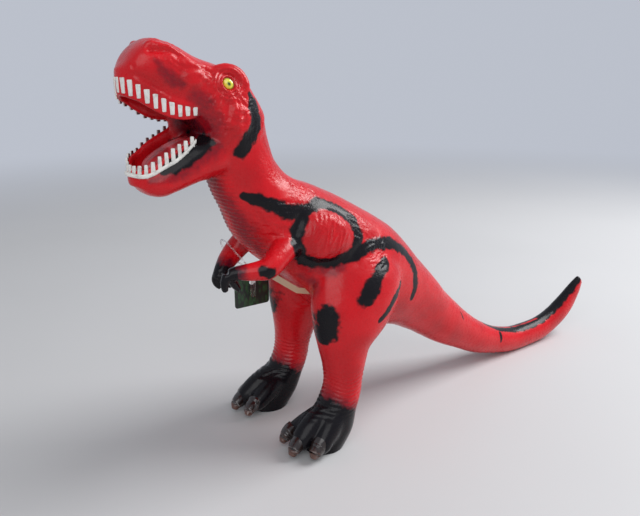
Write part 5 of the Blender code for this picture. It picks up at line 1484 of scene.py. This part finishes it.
def floor_finish(settings):
    """A pale floor that turns into the room's colour far from the figure, so no edge shows."""
    material, tree, shader = new_finish("pale_floor", 0.55)
    shade = ranged(tree, grain(tree, 3.0, 3.0), 0.3, 0.7)
    colour = mixed(tree, shade, settings.floor_colour, shaded(settings.floor_colour, 0.97))
    tree.links.new(colour, shader.inputs["Base Color"])
    glow = wired(tree, "Emission", {"Color": (*settings.room_colour, 1.0), "Strength": 1.0})
    far = wired(tree, "VectorMath", {0: places(tree)}, operation="LENGTH").outputs["Value"]
    share = worked(tree, "MULTIPLY", ranged(tree, far, 0.60, 1.60), seen_share(tree))
    blend = wired(tree, "MixShader", {0: share, 1: shader.outputs["BSDF"], 2: glow.outputs["Emission"]})
    tree.links.new(blend.outputs["Shader"], tree.nodes["Material Output"].inputs["Surface"])
    return material


def room_light(settings):
    """Soft light from all round. The camera sees the room's plain colour instead."""
    world = bpy.data.worlds.new("room")
    world.use_nodes = True
    tree = world.node_tree
    light = tree.nodes["Background"]
    light.inputs["Color"].default_value = (0.80, 0.83, 0.88, 1.0)
    light.inputs["Strength"].default_value = 0.36
    plain = wired(tree, "Background", {"Color": (*settings.room_colour, 1.0), "Strength": 1.0})
    layers = {0: seen_share(tree), 1: light.outputs["Background"], 2: plain.outputs["Background"]}
    blend = wired(tree, "MixShader", layers)
    tree.links.new(blend.outputs["Shader"], tree.nodes["World Output"].inputs["Surface"])
    return world


def add_lamp(name, place, target, size, power):
    data = bpy.data.lights.new(name, "AREA")
    data.shape = "SQUARE"
    data.size = size
    data.energy = power
    lamp = bpy.data.objects.new(name, data)
    lamp.location = place
    lamp.rotation_euler = (Vector(target) - Vector(place)).to_track_quat("-Z", "Y").to_euler()
    bpy.context.scene.collection.objects.link(lamp)
    return lamp


def place_camera(scene):
    """The photograph's view: from the front left, a little above."""
    data = bpy.data.cameras.new("camera")
    data.sensor_width = 36.0
    data.lens = 38.6
    camera = bpy.data.objects.new("camera", data)
    right = Vector((0.82511, -0.56497, 0.0))
    up = Vector((0.16249, 0.23730, 0.95775))
    forward = Vector((0.54110, 0.79025, -0.28760))
    camera.matrix_world = Matrix.Translation((-0.34913, -0.38343, 0.26335)) @ Matrix(
        (right, up, -forward)).transposed().to_4x4()
    scene.collection.objects.link(camera)
    scene.camera = camera


class DINO_OT_stage(bpy.types.Operator):
    """Lay the floor, hang the lamps and place the camera"""
    bl_idname = "dino.stage"
    bl_label = "Stage"

    def execute(self, context):
        settings = context.scene.dino_stage
        builder = bmesh.new()
        bmesh.ops.create_circle(builder, cap_ends=True, segments=96, radius=settings.floor_radius)
        floor = new_object(builder, "floor")
        floor.data.materials.append(floor_finish(settings))
        target = (-0.05, 0.0, 0.12)
        add_lamp("window_lamp", (0.93, -0.30, 1.00), target, 0.8, 19.0)
        add_lamp("front_lamp", (-0.9, -0.9, 0.9), target, 1.2, 9.0)
        context.scene.world = room_light(settings)
        place_camera(context.scene)
        context.scene.view_settings.view_transform = "Standard"
        return {"FINISHED"}


class DINO_PT_panel(bpy.types.Panel):
    """The dinosaur's settings and pieces"""
    bl_idname = "DINO_PT_panel"
    bl_label = "Toy Dinosaur"
    bl_space_type = "VIEW_3D"
    bl_region_type = "UI"
    bl_category = "Dinosaur"

    def draw(self, context):
        for group in GROUPS:
            box = self.layout.box()
            settings = getattr(context.scene, group)
            for name in settings.__annotations__:
                box.prop(settings, name)
        for operator in OPERATORS:
            self.layout.operator(operator.bl_idname)


GROUPS = {"dino_skin": SkinSettings, "dino_mouth": MouthSettings, "dino_eyes": EyeSettings,
          "dino_claws": ClawSettings, "dino_tag": TagSettings, "dino_stage": StageSettings}
OPERATORS = (DINO_OT_skin, DINO_OT_mouth, DINO_OT_eyes, DINO_OT_claws, DINO_OT_filling, DINO_OT_sound_unit,
             DINO_OT_tag, DINO_OT_stage)
CLASSES = (*GROUPS.values(), *OPERATORS, DINO_PT_panel)


def register():
    for entry in CLASSES:
        bpy.utils.register_class(entry)
    for name, group in GROUPS.items():
        setattr(bpy.types.Scene, name, PointerProperty(type=group))


def unregister():
    for name in GROUPS:
        delattr(bpy.types.Scene, name)
    for entry in reversed(CLASSES):
        bpy.utils.unregister_class(entry)


def main():
    register()
    bpy.ops.dino.skin()
    bpy.ops.dino.mouth()
    bpy.ops.dino.eyes()
    bpy.ops.dino.claws()
    bpy.ops.dino.filling()
    bpy.ops.dino.sound_unit()
    bpy.ops.dino.tag()
    bpy.ops.dino.stage()


if __name__ == "__main__":
    main()
